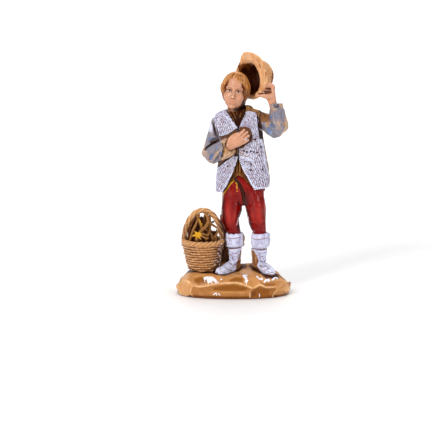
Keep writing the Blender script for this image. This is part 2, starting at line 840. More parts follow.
def cloth_from(node, voxel=0.26, rounds=8):
    """A frame node's form as an even skin with its facets relaxed."""
    skin = Skin(*remeshed(*node_shell(node), voxel))
    return skin.smooth(rounds * 2, hold=True)


def holes(skin, places, width, depth):
    """Small round dents at places in the picture."""
    mask = np.zeros(len(skin.co))
    for place in places:
        d = np.linalg.norm(skin.picture - place, axis=1) * PICTURE_MM
        mask = np.maximum(mask, (1 - ease(width * 0.4, width, d)) * (skin.facing > 0))
    skin.press(-depth * mask)
    return mask


# Places that several pieces share, in mm.
BASKET = np.array([-13.75, 1.0, 10.0])  # the middle of the basket's foot
BASKET_HEIGHT = 13.6
GROUND_HALF = (26, 15)  # half the ground's width and depth

# The scoops chipped out of the ground's front, which meet in sharp ridges: an outline in the picture,
# how deep it is and how dark.
SCOOPS = [
    (
        [
            (199.3, 287.3), (210, 285.3), (223.3, 283.3), (234, 282.7), (243.3, 284), (250, 287.3),
            (252, 289.5), (250, 291.3), (249.3, 299), (196, 299), (193.3, 296.7), (190, 293.3),
            (192, 287.6), (194, 286),
        ],
        1.25, 0.5,
    ),
    (
        [
            (253.3, 288.7), (260, 285.6), (266, 287.6), (274, 287.6), (277.5, 289.5), (274, 293),
            (271.3, 299), (249.8, 299), (250.2, 291.6),
        ],
        1.2, 0.7,
    ),
    (
        [
            (186.5, 279.6), (191, 275.5), (200, 274.5), (215, 275.5), (224, 277), (228, 278.5),
            (223.3, 282.8), (210, 284.8), (199.3, 286.8), (193.3, 284.8),
        ],
        0.85, 0.3,
    ),
    (
        [
            (228, 279.3), (234, 276.7), (238, 275.6), (243, 275), (247, 278), (252, 282), (254, 287),
            (250, 286.8), (243.3, 283.5), (234, 282.2), (224.5, 282.7),
        ],
        0.75, 0.35,
    ),
    (
        [(247.5, 276), (254, 277.5), (256, 281.3), (259.5, 285), (253.3, 288.2), (252.5, 284), (250, 280)],
        0.6, 0.1,
    ),
    (
        [
            (257, 278), (268, 281), (279, 280), (284, 282), (280, 285.6), (274, 287), (266, 287),
            (260.5, 285),
        ],
        0.85, 0.3,
    ),
    ([(176, 278), (186, 280.2), (192, 287.3), (190, 293.3), (184, 296), (178, 293), (175, 285)], 0.7, 0.0),
    ([(183, 296.6), (190, 294), (193.3, 297), (192, 300), (184, 300)], 0.5, 0.1),
    ([(272, 299), (274.6, 293.4), (278.4, 290), (285, 289), (286, 297)], 0.6, 0.35),
    ([(280.8, 286), (285, 283), (286.5, 289), (278.8, 289.4)], 0.6, 0.3),
]

# The bright ridges between the scoops: a line and its width.
MAIN_RIDGE = [
    (
        [
            (187, 279), (192, 285), (200, 286.7), (208, 285.6), (217, 284.2), (229, 283), (237, 283),
            (246.7, 285.8), (253, 288), (260, 284.9), (266, 287.2), (272, 287.3), (279, 285),
        ],
        0.5,
    ),
]
SIDE_RIDGES = [
    ([(192, 285.4), (190.6, 291), (193, 296.7)], 0.45),
    ([(228.7, 278.4), (235, 276.4), (240.7, 276)], 0.4), ([(256.7, 282), (262, 285.2)], 0.4),
    ([(250.4, 290), (250, 298)], 0.35), ([(277.8, 289), (273.6, 293.6), (272, 298.6)], 0.4),
    ([(194, 276.6), (200, 275), (208, 275.4)], 0.35),
]
# The darkest parts of the scoops, just under the ridges.
OCHRE = [
    [
        (213, 286.8), (224, 284.8), (236, 284.4), (246, 286.8), (249.5, 290), (243, 291.6), (224, 291.4),
        (213, 290.6),
    ],
    [(252.5, 289.5), (258, 287.6), (266, 288.8), (270.5, 291.6), (268, 297.5), (252, 297.5)],
    [(193.5, 278.5), (200, 276.6), (207.5, 277.5), (207, 283), (199, 284.7), (194.5, 282.5)],
    [(229.5, 279.2), (236, 276.8), (243, 277.5), (243.5, 282.4), (236, 281.8), (229, 282)],
    [(262, 283.5), (270, 283), (277, 283.5), (273, 286), (265, 286)],
]
# Patches and drops of spilt white paint.
SNOW = [
    [
        (203.3, 277.3), (207.3, 276.3), (212.7, 276.7), (216.7, 280), (217.2, 282), (219.3, 281.3),
        (218, 283), (212.7, 281.3), (210, 282.9), (207.3, 282), (206.7, 279.3), (204, 280),
    ],
    [
        (242.7, 274.7), (248, 274.7), (246.9, 277.3), (248.5, 280), (247, 282.9), (244.5, 282.2),
        (245, 278.7), (242.7, 276.9),
    ],
    [
        (263.2, 282.3), (265.2, 279.4), (268.6, 278.6), (270.4, 280.2), (268.8, 282.2), (266.4, 281.2),
        (264.8, 283),
    ],
]
SNOW_DROPS = [
    ([(256.7, 276.3), (258.7, 278.3)], 0.34), ([(259.8, 279.4), (261.8, 278.3), (262.2, 279.6)], 0.36),
    ([(272.4, 279.8), (274.8, 277.9)], 0.42), ([(276, 277.6), (277.8, 278.4)], 0.3),
    ([(213.3, 294.7), (216, 293.2), (216.7, 295)], 0.28), ([(218.4, 293.6), (219.7, 294.9)], 0.26),
    ([(204.6, 279.6), (205, 281.6)], 0.2), ([(207.6, 281.4), (208.4, 283.4)], 0.2),
    ([(211.6, 282), (212.2, 284)], 0.2), ([(215.2, 282.4), (216.2, 283.6)], 0.2),
    ([(246, 281), (246.4, 284.2)], 0.2), ([(250.2, 298), (250.5, 298.8)], 0.32),
    ([(259.3, 294), (259.7, 298.7)], 0.26), ([(221, 279.4), (221.8, 279.3)], 0.3),
]


def chips(skin):
    """How deep the stone is chipped round the sides and back, in facets that meet in ridges."""
    dice = np.random.default_rng(12)
    side = np.arctan2(skin.co[:, 1] / GROUND_HALF[1], skin.co[:, 0] / GROUND_HALF[0])
    first = np.full(len(side), 9.0)
    second = first.copy()
    for _ in range(26):
        middle, low = dice.uniform(-np.pi, np.pi), dice.uniform(0, 10.5)
        turn = (side - middle + np.pi) % (2 * np.pi) - np.pi
        away = np.hypot(turn * 13, (skin.co[:, 2] - low) * 1.9)
        second = np.minimum(second, np.maximum(first, away))
        first = np.minimum(first, away)
    return np.clip((second - first) / 5.0, 0, 1) ** 0.7


def fallen(skin):
    """How far the ground's top falls away towards the back and the ends."""
    x, y, _ = skin.co.T
    behind = ease(-7, 2, y)
    fall = 0.27 * np.maximum(0, y - 5) + 0.5 * np.maximum(0, np.abs(x) - 20.5)
    fall += 0.26 * np.maximum(0, x - 13) * behind
    fall += 0.1 * np.maximum(0, -14 - x) * behind
    return fall


def from_feet(skin):
    """How far each point of the ground lies from the boots and the basket's foot, seen from above."""
    feet = np.full(len(skin.co), 9.0)
    flat = skin.co[:, :2]
    for name in ("boot_right", "boot_left"):
        sole = node_shell(name)[0]
        sole = sole[sole[:, 2] < 16, :2]
        close = np.flatnonzero(np.all((flat > sole.min(0) - 3) & (flat < sole.max(0) + 3), axis=1))
        for batch in np.array_split(close, 1 + len(close) // 4000):
            gaps = np.sqrt(((skin.co[batch, None, :2] - sole) ** 2).sum(-1)).min(1)
            feet[batch] = np.minimum(feet[batch], gaps)
    ring = np.abs(np.hypot(flat[:, 0] - BASKET[0], flat[:, 1] - BASKET[1]) - 4.4) - 1.0
    return np.minimum(feet, ring)


def model_ground():
    skin = cloth_from("ground_base", 0.3, 5)
    fall = fallen(skin)
    skin.co[:, 2] -= fall * ease(2.5, 9, skin.co[:, 2])
    skin.turn()
    skin.outer = skin.co + np.outer(fall, (0, 0, 1))
    rock = ease(13.8, 13.0, skin.co[:, 2])
    front = ease(0.05, 0.25, skin.facing)
    depth = np.zeros(len(skin.co))
    for outline, deep, _ in SCOOPS:
        inward = np.clip(-away_from(outline, skin.picture) * PICTURE_MM / 2.6, 0, 1)
        depth = np.maximum(depth, deep * inward**0.85)
    rim = ease(1.2, 4.0, skin.co[:, 2]) * ease(0.9, 0.5, skin.normal[:, 2])
    skin.press(-rock * (front * depth + (1 - front) * 1.1 * chips(skin) * rim))
    for line, width in MAIN_RIDGE + SIDE_RIDGES:
        skin.stroke(line, 1.6 * width, 0.16, fade=0.1)
    skin.smooth(3)
    ridges = skin.hollows(24)
    rough = 0.08 * grain(skin.co, 2.4, 3) + 0.05 * grain(skin.co, 0.9, 4)
    web = ease(12.8, 13.8, skin.co[:, 2])
    rough += web * (0.35 * grain(skin.co, (1.6, 1.6, 3.4), 5) + 0.2 * grain(skin.co, 0.8, 6))
    end = ease(22.0, 24.0, np.abs(skin.co[:, 0])) * ease(1, 3, skin.co[:, 2])
    rough += end * (0.4 * grain(skin.co, 1.7, 7) + 0.22 * grain(skin.co, 0.7, 8) + 0.2)
    skin.press(rough * ease(0.2, 1.0, skin.co[:, 2]))
    skin.co[:, 2] = np.maximum(skin.co[:, 2], 0)
    skin.turn()
    paint_ground(skin, rock, front, web, ridges)


def paint_ground(skin, rock, front, web, ridges):
    x, y, z = skin.co.T
    bitten = 1 - 0.6 * ease(0.15, 0.5, grain(skin.co, (0.9, 0.9, 0.45), 8))
    snow = skin.most(skin.patch(outline, 0.2) * bitten for outline in SNOW)
    snow = np.maximum(snow, skin.touches(SNOW_DROPS, 1.3, fade=0, edge=0.6))
    skin.mask("snow", snow * (z > 1))
    ochre = skin.most(tone * skin.patch(outline, 0.35) * front for outline, _, tone in SCOOPS)
    ochre = np.maximum(ochre, skin.most(0.95 * skin.patch(outline, 0.9) * front for outline in OCHRE))
    ochre -= 0.3 * skin.touch([(205, 292.6), (226, 292.3), (248, 293)], 0.7, fade=0.2, edge=1.0)
    chipped = (1 - front) * ease(0.3, 0.9, chips(skin)) * rock
    skin.mask("ochre", np.maximum(ochre * 0.95, 0.6 * chipped))
    top = ease(0.55, 0.8, skin.normal[:, 2]) * rock
    feet = from_feet(skin)
    skin.mask("contact", 0.95 * ease(1.9, 0.5, feet + 0.6 * grain(skin.co, 1.3, 19)) * top)
    feet = ease(2.9, 0.7, feet + 0.7 * grain(skin.co, 1.6, 17)) * top
    crest = 0.9 * skin.touches(MAIN_RIDGE, 1.7, fade=0.2, edge=1.0)
    crest = np.maximum(crest, 0.5 * skin.touches(SIDE_RIDGES, 1.7, fade=0.2, edge=1.0))
    crest = crest * (0.75 + 0.5 * grain(skin.co, 1.4, 18))
    skin.mask("ridge", np.maximum(0.7 * ease(0.06, 0.36, -ridges) * rock * (1 - 0.6 * top), crest))
    skin.masks["ridge"] += 0.4 * ease(17, 22, np.abs(x)) * front * rock * (1 - skin.masks["ochre"])
    dark = skin.patch([(250.8, 291), (258.7, 290.3), (257.5, 295.5), (251.2, 297)], 0.7) * front
    dark = dark * (0.6 + 0.5 * grain(skin.co, 0.8, 9))
    skin.mask("stain", np.maximum.reduce([web, 0.8 * dark, ease(0.75, 0.25, z) * 0.9]))
    shade = top * ease(-7, 1, y + 2.0 * grain(skin.co, 4.0, 10)) * (0.75 + 0.4 * grain(skin.co, 1.5, 11))
    edge = skin.touch([(275, 274.2), (281, 276.8), (287, 281)], 0.55, fade=0.1)
    low = ease(3.4, 1.2, z) * front * ease(-20, -17, x) * ease(20, 18, x)
    skin.masks["more"] = 0.42 * shade + 0.95 * feet + 0.5 * edge + 0.9 * ease(1.7, 0.6, z) + 0.22 * low
    look = painted(
        "ground_paint", (206, 144, 84), (226, 170, 112), wash=(80, 36, 8),
        rough=0.42, gloss=0.1, shine=0.15,
        coats=[
            ("ochre", (156, 92, 22), (130, 74, 14), 0.4, 0.45, 0.32),
            ("ridge", (246, 200, 150), (232, 180, 126), 0.5, 0.4, 0.36),
            ("stain", (122, 66, 24), (74, 32, 8), 0.8, 0.35, 0.5),
            ("contact", (66, 26, 6), (48, 16, 3), 0.6, 0.4, 0.5),
            ("snow", (252, 252, 255), (228, 226, 238), 0.5, 0.12, 0.6),
        ],
    )
    piece("rocky_ground", skin, look, "ground_base", washed=0.75, depth=2.6)


# The white coat of the boots, as outlines in the picture.
BOOT_COATS = {
    "boot_right": [
        (226, 232), (243, 232), (243.3, 247), (241.6, 248), (241.2, 257), (238, 261), (236.5, 268),
        (232.5, 275), (226, 278), (218, 277.5), (214.5, 273), (216, 268.5), (222, 266), (227, 260.5),
        (229, 255), (228.6, 248), (225.6, 246.5),
    ],
    "boot_left": [
        (249.5, 233.5), (256, 232), (270.2, 232), (270.5, 247.5), (268.4, 248.6), (268, 258), (269, 262),
        (276, 270), (277, 276), (272, 278.5), (264, 276), (259, 270.5), (257, 266), (258.6, 260),
        (256.4, 255), (253.6, 250.4), (249.5, 248.5),
    ],
}
# Creases: a line, its width and its height.
BOOT_CREASES = {
    "boot_right": [
        ([(228.5, 252), (234, 254.5), (241, 251)], 0.55, -0.22),
        ([(229, 256.5), (235, 260), (241, 256)], 0.55, -0.25),
        ([(228, 261), (234, 264.5), (239, 262)], 0.5, -0.22),
        ([(225, 264.5), (230, 268), (236, 267.5)], 0.5, -0.2),
        ([(221, 267), (225, 271), (231, 272.5)], 0.45, -0.15),
        ([(217, 270), (220, 273.5), (225, 275)], 0.4, -0.1),
        ([(226, 247.6), (234, 248.8), (242.5, 247.4)], 0.6, -0.3),
        ([(226.5, 239), (232, 241.5), (238, 239), (242, 240)], 0.8, -0.1),
        ([(228, 245.5), (234, 243.6), (241, 245)], 0.8, -0.06),
        ([(234, 250.5), (233.5, 256), (231, 262), (226, 268)], 0.6, 0.16),
    ],
    "boot_left": [
        ([(256, 251), (262, 254), (268, 251.5)], 0.55, -0.22),
        ([(257, 256), (262, 259), (268, 256.5)], 0.55, -0.24),
        ([(256.5, 261), (261, 263), (267, 261)], 0.5, -0.2),
        ([(258, 265), (263, 266), (269, 264)], 0.45, -0.2),
        ([(260, 268.5), (266, 268.5), (271.5, 267)], 0.4, -0.15),
        ([(264, 272), (269, 271.5), (274, 270.5)], 0.35, -0.1),
        ([(251, 248.8), (260, 249.8), (269.5, 248.6)], 0.6, -0.3),
        ([(252, 239.5), (258, 241.5), (266, 239.5), (269, 240.5)], 0.8, -0.1),
        ([(253, 246), (259, 243.5), (265, 245)], 0.8, -0.06),
        ([(259, 250.5), (262.5, 256), (261, 263), (265, 269)], 0.6, 0.16),
    ],
}
# Where brown has stayed in the folds of the boots: a line and its width.
BOOT_LINES = {
    "boot_right": [
        ([(226.2, 247.6), (231, 248.6), (237, 248), (242, 246.4)], 0.5),
        ([(226.6, 237.6), (233, 238.6), (242, 237)], 0.32), ([(226, 240), (226.6, 246)], 0.35),
        ([(229, 253.5), (232, 256), (233, 260)], 0.3), ([(235, 252.6), (239, 254.6), (241, 253)], 0.28),
        ([(229, 262), (232.6, 265.4), (238, 264)], 0.36),
        ([(224, 266.4), (228, 269.6), (233, 270.5)], 0.34),
        ([(219, 268.6), (221.6, 271.6), (226, 272.6)], 0.26),
        ([(216, 271.4), (219, 274.4), (224, 275.6)], 0.28),
        ([(240.6, 249), (240, 256), (237.6, 262), (236.6, 268.5)], 0.6),
        ([(233, 273.6), (236.4, 269.6)], 0.4),
    ],
    "boot_left": [
        ([(250.4, 248.4), (256, 249), (262, 250), (268.6, 248)], 0.5),
        ([(251.4, 238.2), (258, 239.6), (268.6, 237.6)], 0.32), ([(250, 238), (250.2, 247)], 0.5),
        ([(257, 253), (261, 256.4), (264, 256)], 0.34), ([(259, 260), (263, 261.6), (266.4, 259.4)], 0.3),
        ([(267.4, 251), (267, 257), (268, 262)], 0.36),
        ([(258.4, 264.4), (262, 267), (268, 265.6)], 0.34),
        ([(262, 270.4), (266, 269.8), (271, 267.8)], 0.3),
        ([(266.4, 274), (270.4, 272.6), (274, 272)], 0.28),
        ([(256.6, 266), (259, 270), (264, 275)], 0.45),
    ],
}


def model_boot(node):
    skin = cloth_from(node, 0.2, 5)
    if node == "boot_left":
        x, _, z = skin.co.T
        inner = ease(-0.1, -0.6, skin.normal[:, 0]) * ease(10.5, 12.5, z) * ease(21.4, 20.2, z)
        skin.press(1.15 * inner)
    x, y, z = skin.co.T
    cuff = ease(20.6, 21.3, z)
    middle = skin.co[z > 15].mean(0)
    around = 3.6 * np.arctan2(x - middle[0], middle[1] - y)
    hair = combed(around + 0.3 * grain(skin.co, 1.4, 15), z, 0.85, 2.2, 2)
    lap = combed(z + 0.35 * np.cos(around / 1.6) + 0.3 * grain(skin.co, 1.6, 16), around, 0.8, 3.4, 3)
    fur = 0.3 + 0.22 * hair + 0.26 * grain(skin.co, 1.1, 11)
    skin.press(cuff * fur + (1 - cuff) * 0.12 * (lap - 0.4) + 0.05 * grain(skin.co, 1.0, 13))
    for line, width, height in BOOT_CREASES[node]:
        skin.stroke(line, width, 1.7 * height)
        lower = [(u, v + 1.7) for u, v in line]
        skin.stroke(lower, width * 1.3, -1.1 * height)
    sole = ease(10.9, 10.3, skin.co[:, 2])
    behind = ease(0.05, -0.25, skin.facing)
    bared = ease(0.08, 0.3, skin.hollows())
    cover = np.maximum(skin.patch(BOOT_COATS[node], 0.25), behind * 0.9)
    skin.mask("lilac", cover * (1 - 0.7 * sole) - 0.55 * bared)
    streaks = 0.32 * grain(skin.co, (1.5, 1.5, 3.4), 18) + 0.4 * ease(13.5, 11.5, skin.co[:, 2])
    relief = cuff * (0.3 + 0.4 * hair) + (1 - cuff) * lap
    skin.mask("coat", skin.masks["lilac"] * (0.36 + 0.5 * relief + streaks) - 0.8 * bared)
    skin.mask("lines", 0.9 * skin.touches(BOOT_LINES[node], fade=0.1, edge=1.0))
    look = painted(
        node + "_paint", (140, 88, 44), (180, 130, 84), wash=(70, 30, 10), rough=0.4, gloss=0.1,
        coats=[
            ("lilac", (184, 184, 218), (164, 150, 178), 0.6, 0.3, 0.5),
            ("coat", (238, 240, 254), (204, 206, 236), 0.6, 0.35, 0.5),
            ("lines", (138, 88, 66), (112, 62, 40), 0.7, 0.3, 0.45),
        ],
        brush=(1, 1, 1),
    )
    piece(node + "_leather", skin, look, node, washed=1.1, depth=0.16)


# Folds of the breeches: a line, its width and its height. The first two make the fly.
BREECHES_FOLDS = [
    ([(233.5, 178), (239, 184), (243, 193), (244.5, 206)], 1.1, -0.75),
    ([(231, 180), (236, 186), (240.5, 195), (242, 205)], 1.0, 0.25),
    ([(244, 206.5), (238, 203), (231, 202)], 1.1, -0.2),
    ([(245.5, 207), (253, 203), (261, 203)], 1.1, -0.2),
    ([(236, 207), (238, 216), (236.5, 226)], 0.9, -0.15),
    ([(224.5, 226), (229, 230), (235, 231)], 0.8, -0.22),
    ([(225.5, 231), (230, 234), (237, 234)], 0.7, -0.2),
    ([(226, 214), (229, 221), (235, 226)], 0.9, -0.12),
    ([(248.5, 222), (254, 225), (258, 231)], 0.9, -0.28),
    ([(258, 231), (262, 224), (266, 221)], 0.9, -0.25),
    ([(250, 230), (256, 233), (264, 232)], 0.8, -0.22),
    ([(249, 212), (255, 219), (262, 221)], 1.1, -0.16),
    ([(247, 181), (252, 187), (254, 192)], 0.9, -0.14),
]
# Where the breeches are darker, where their paint is thin, and the drops of the yellow trim:
# a line and its width.
BREECHES_SHADE = [
    ([(224.2, 196), (223.4, 210), (225, 224), (229, 234)], 1.5),
    ([(243.4, 206), (240.5, 212), (238.6, 222), (238.4, 233)], 1.4),
    ([(246.8, 206), (248, 214), (250, 224), (252, 234)], 1.3),
    ([(266.5, 192), (266.8, 206), (267, 222), (267, 234)], 1.5),
    ([(252.5, 187.4), (258, 189.6), (266.4, 189.6)], 0.8),
    ([(245, 189), (246.6, 198), (246.2, 206)], 1.3), ([(229, 235.4), (238, 235.4)], 0.8),
    ([(253, 235.6), (266, 235.4)], 0.8),
]
BREECHES_THIN = [
    ([(228.4, 196), (227.6, 208), (229, 220), (231.6, 230)], 1.3),
    ([(235, 206), (234.6, 216), (233.6, 226)], 0.7),
    ([(259, 196), (258.6, 208), (260, 220), (261.4, 229)], 1.5),
    ([(251.6, 208), (253.4, 218), (255.4, 226)], 0.7), ([(243, 181), (247.4, 186), (250, 192)], 0.8),
    ([(264.4, 200), (264.8, 214)], 0.6), ([(233, 189), (231.6, 196)], 0.7),
]
TRIM_DROPS = [
    ([(235.8, 182.5), (237, 184.5)], 0.4), ([(236.6, 186), (237, 188.5)], 0.35),
    ([(237, 190.5), (237.2, 191.5)], 0.3),
]


def model_breeches():
    skin = cloth_from("breeches", 0.27, 9)
    skin.strokes(BREECHES_FOLDS)
    back = ease(0.0, -0.3, skin.facing)
    seam = np.exp(-(((skin.co[:, 0] - 4.4) / 0.5) ** 2)) * ease(38, 44, skin.co[:, 2])
    weave = 0.14 * grain(skin.co, (2.2, 2.2, 4.5), 21)
    skin.press(-0.45 * back * seam + weave + 0.03 * grain(skin.co, 0.9, 22))
    fly = skin.touch(BREECHES_FOLDS[0][0], 1.15, fade=0.05, edge=0.5)
    between = skin.touch([(244.5, 196), (245, 208)], 1.0, fade=0.1)
    edge = [(219.5, 195), (223.8, 189.5), (228, 183.4), (232.4, 177.4), (235, 174)]
    hem = skin.touch(edge, 1.35, fade=0.0, edge=0.3)
    skin.mask("fly", np.maximum.reduce([fly, hem, between]))
    trim = skin.touch(
        [(222.6, 195), (226.6, 189.6), (230.6, 184), (234.4, 180)], 0.5, fade=0.02, edge=0.7,
    )
    skin.mask("trim", np.maximum(trim, skin.touches(TRIM_DROPS, fade=0, edge=0.6)))
    spill = [([(239, 217), (237.5, 222), (236.5, 226)], 0.35), ([(248, 216), (248.6, 224)], 0.3)]
    skin.mask("spill", 0.8 * skin.touches(spill, fade=0.1))
    skin.masks["more"] = 0.65 * skin.spread(skin.touches(BREECHES_SHADE, fade=0.1, edge=1.0))
    thin = skin.spread(skin.touches(BREECHES_THIN, 1.5, fade=0.35, edge=1.0))
    skin.mask("thin", 0.85 * thin + 0.12 * grain(skin.co, (1.6, 1.6, 5.0), 23))
    look = painted(
        "breeches_paint", (128, 4, 0), (154, 20, 8), wash=(58, 2, 0),
        rough=0.34, gloss=0.38, shine=0.04, polish=0.13,
        coats=[
            ("thin", (186, 50, 38), (166, 28, 22), 0.35, 0.6, 0.34),
            ("fly", (74, 22, 8), (44, 8, 3), 0.5, 0.2, 0.4),
            ("trim", (228, 168, 30), (190, 120, 20), 0.7, 0.12, 0.4),
            ("spill", (230, 200, 215), (210, 150, 160), 0.9, 0.12, 0.5),
        ],
        brush=(1, 1, 0.3),
    )
    piece("red_breeches", skin, look, "breeches", washed=1.0, depth=0.3)


# The pleats over the belly, each at a place across and leaning by so much, and the lines at the throat.
PLEATS = ((233.5, -2), (236, -1), (238.5, 0), (241, 1), (243.5, 2.5))
THROAT = [
    [(228, 114), (232, 119), (236, 125)], [(232, 113), (235, 119), (237.5, 125)],
    [(243, 112), (241, 119), (238.5, 125)], [(238, 113), (238, 119), (238, 125)],
]
# The bones of the chest that show through the wash.
BONES = [
    ([(228.6, 111), (231.6, 117), (235, 123)], 0.6), ([(232, 109.6), (234, 115), (236, 120)], 0.6),
    ([(236.4, 110), (236.8, 116)], 0.6), ([(241.4, 112), (239.6, 118)], 0.6),
]


def model_shirt():
    skin = cloth_from("shirt_body", 0.27, 6)
    for x, tilt in PLEATS:
        skin.stroke([(x - tilt * 0.4, 150), (x, 162), (x + tilt, 176)], 0.55, -0.28)
    for line in THROAT:
        skin.stroke(line, 0.6, -0.35)
    skin.press(0.12 * grain(skin.co, (1.4, 1.4, 3.5), 31))
    chest = ease(70, 76, skin.co[:, 2]) * (0.78 + 0.45 * grain(skin.co, (1.1, 1.1, 6.0), 33))
    bones = skin.touches(BONES, fade=0.2, edge=1.0)
    skin.masks["more"] = chest - 0.9 * bones + 0.45 * ease(57, 53, skin.co[:, 2])
    look = painted(
        "shirt_paint", (118, 70, 28), (170, 116, 60), wash=(50, 17, 3),
        rough=0.42, gloss=0.04, shine=0.06,
    )
    piece("brown_shirt", skin, look, "shirt_body", washed=1.3, depth=0.16)


# Zones of the waistcoat and the arm behind it, as outlines in the picture.
CHEST_BAND = [
    (217.8, 136.2), (221.5, 136.2), (227.5, 134.4), (232, 131.6), (236, 128.6), (240, 127.2),
    (245, 126.6), (250, 128.6), (252.2, 132.5), (251.8, 141), (248, 143.6), (243, 147.2), (239.4, 149),
    (238, 152), (237.6, 156.6), (234.4, 155.4), (231, 157.6), (224, 162.6), (218.8, 167), (216, 166),
    (216, 150),
]
SHOULDER_STRAP = [
    (243.4, 110.5), (244, 104), (252.5, 104.5), (260, 108), (269.5, 115), (269.5, 122), (263.5, 122.6),
    (259.4, 121.5), (256.6, 113.2), (250.2, 111.4), (244.4, 111.8),
]
ARMHOLE_SHADE = [
    (256.6, 113.6), (260.4, 119), (262.6, 128), (263.6, 136.5), (266, 137.5), (266.2, 149), (264.6, 149),
    (264, 139.4), (259.6, 138.4), (257.8, 128),
]
# The rolled edges of the fleece.
EDGES = [
    [(212.2, 117), (216, 113.4), (223.5, 109)],
    [(223.5, 109), (223.8, 114.5), (230, 119.5), (234, 126), (238, 127)],
    [(212.3, 119), (214.5, 128), (218.3, 135.8)],
    [(218.5, 136), (221.5, 135.8), (227.5, 134), (232, 131), (237.6, 127.4)],
    [(244.5, 112), (242.5, 118), (240, 121.5), (237, 126)], [(244.5, 112), (250, 111.5), (256, 113)],
    [
        (256, 113), (257, 120), (258, 130), (260, 137.5), (262.5, 145), (264, 152.5), (265, 162.5),
        (267, 170), (269.5, 177.5), (270, 184.5),
    ],
    [(265.5, 188.2), (255, 187.4), (252.5, 185)],
    [
        (240.5, 148.4), (238.3, 150), (238, 152.5), (239.5, 160), (242.5, 167.5), (247.5, 176.5),
        (252.5, 185),
    ],
    [
        (234.5, 155.6), (237, 157), (237, 159), (235, 168), (231, 175), (227, 182), (224.5, 188),
        (218.5, 192.8), (215, 190),
    ],
    [(217.5, 169), (224, 163), (231, 158), (234.5, 155.6)], [(240, 156.6), (246, 157.6), (252.5, 161)],
]
# How the fleece lies: a place in the picture, and how far its tufts lean to the right, in degrees.
FLEECE = [
    (217, 122, -8), (222, 117, 30), (229, 128, 20), (220, 131, -14), (225, 124, 5), (248, 116, -32),
    (254, 122, -12), (243, 123, -38), (256, 135, -4), (258, 146, 2), (246, 146, 48), (252, 147, 14),
    (244, 153, 66), (251, 157, 4), (258, 160, -6), (243, 160, -62), (249, 166, -18), (256, 168, -14),
    (263, 168, -8), (248, 173, -44), (254, 178, -30), (262, 178, -20), (267, 183, -6), (258, 184, -12),
    (232, 160, 40), (226, 166, 34), (219, 173, 14), (228, 174, 28), (217, 182, -34), (222, 181, 52),
    (219, 188, 18), (225, 184, 24),
]


def fleece(skin):
    """The height of the tufts from 0 to 1. They lie another way from place to place, as wool does."""
    x, y, z = skin.co.T
    around = 9.0 * np.arctan2(x - 2.6, -(y - 0.8))
    wave = np.stack([grain(skin.co, 1.7, 41), grain(skin.co, 1.7, 45)], 1) * 0.32
    drawn = skin.picture + 2.6 * np.stack([grain(skin.co, 1.3, 46), grain(skin.co, 1.3, 47)], 1)
    places = np.array([place[:2] for place in FLEECE])
    nearest = np.argmin(((drawn[:, None] - places) ** 2).sum(-1), axis=1)
    lean = np.radians(np.array([place[2] for place in FLEECE])[nearest])
    across = around * np.cos(lean) - z * np.sin(lean) + wave[:, 0]
    along = around * np.sin(lean) + z * np.cos(lean) + 2 * wave[:, 1]
    return combed(across, along, 0.72, 2.2, 5)


def side_strip(skin):
    """The bare strip down his left side, between two heights."""
    z = skin.co[:, 2]
    side = skin.facing + 0.05 * grain(skin.co, (1.5, 1.5, 4.0), 44)
    strip = ease(0.0, 0.06, side) * ease(0.36, 0.26, side) * (skin.normal[:, 0] > 0.5)
    return strip * ease(50, 53, z) * ease(73, 70, z)


# Dark lines between the fleece and the arm behind it: a line and its width.
FLEECE_SHADOWS = [
    ([(231, 150), (238, 147.4), (245, 143.4), (250.6, 139), (252, 133)], 0.9),
    ([(231, 149), (234, 152), (236, 157)], 1.3), ([(219, 141), (219.8, 150), (217.6, 165)], 0.8),
    ([(217.5, 167.6), (224, 161.6), (230, 157.4)], 0.7),
]
# The stitches of the pockets, as places in the picture, and the pocket that is worn.
STITCHES = [
    (244, 151), (247, 152), (251, 151.4), (254, 152), (257.5, 152.5), (251.4, 164.4), (255.3, 139.5),
    (261.3, 146.5), (227.5, 166.5), (262.5, 169.5), (251, 170),
]
POCKET = [(239, 151), (242, 149.8), (245.5, 153), (250.5, 154.5), (250, 158), (244, 157), (239.6, 155.5)]


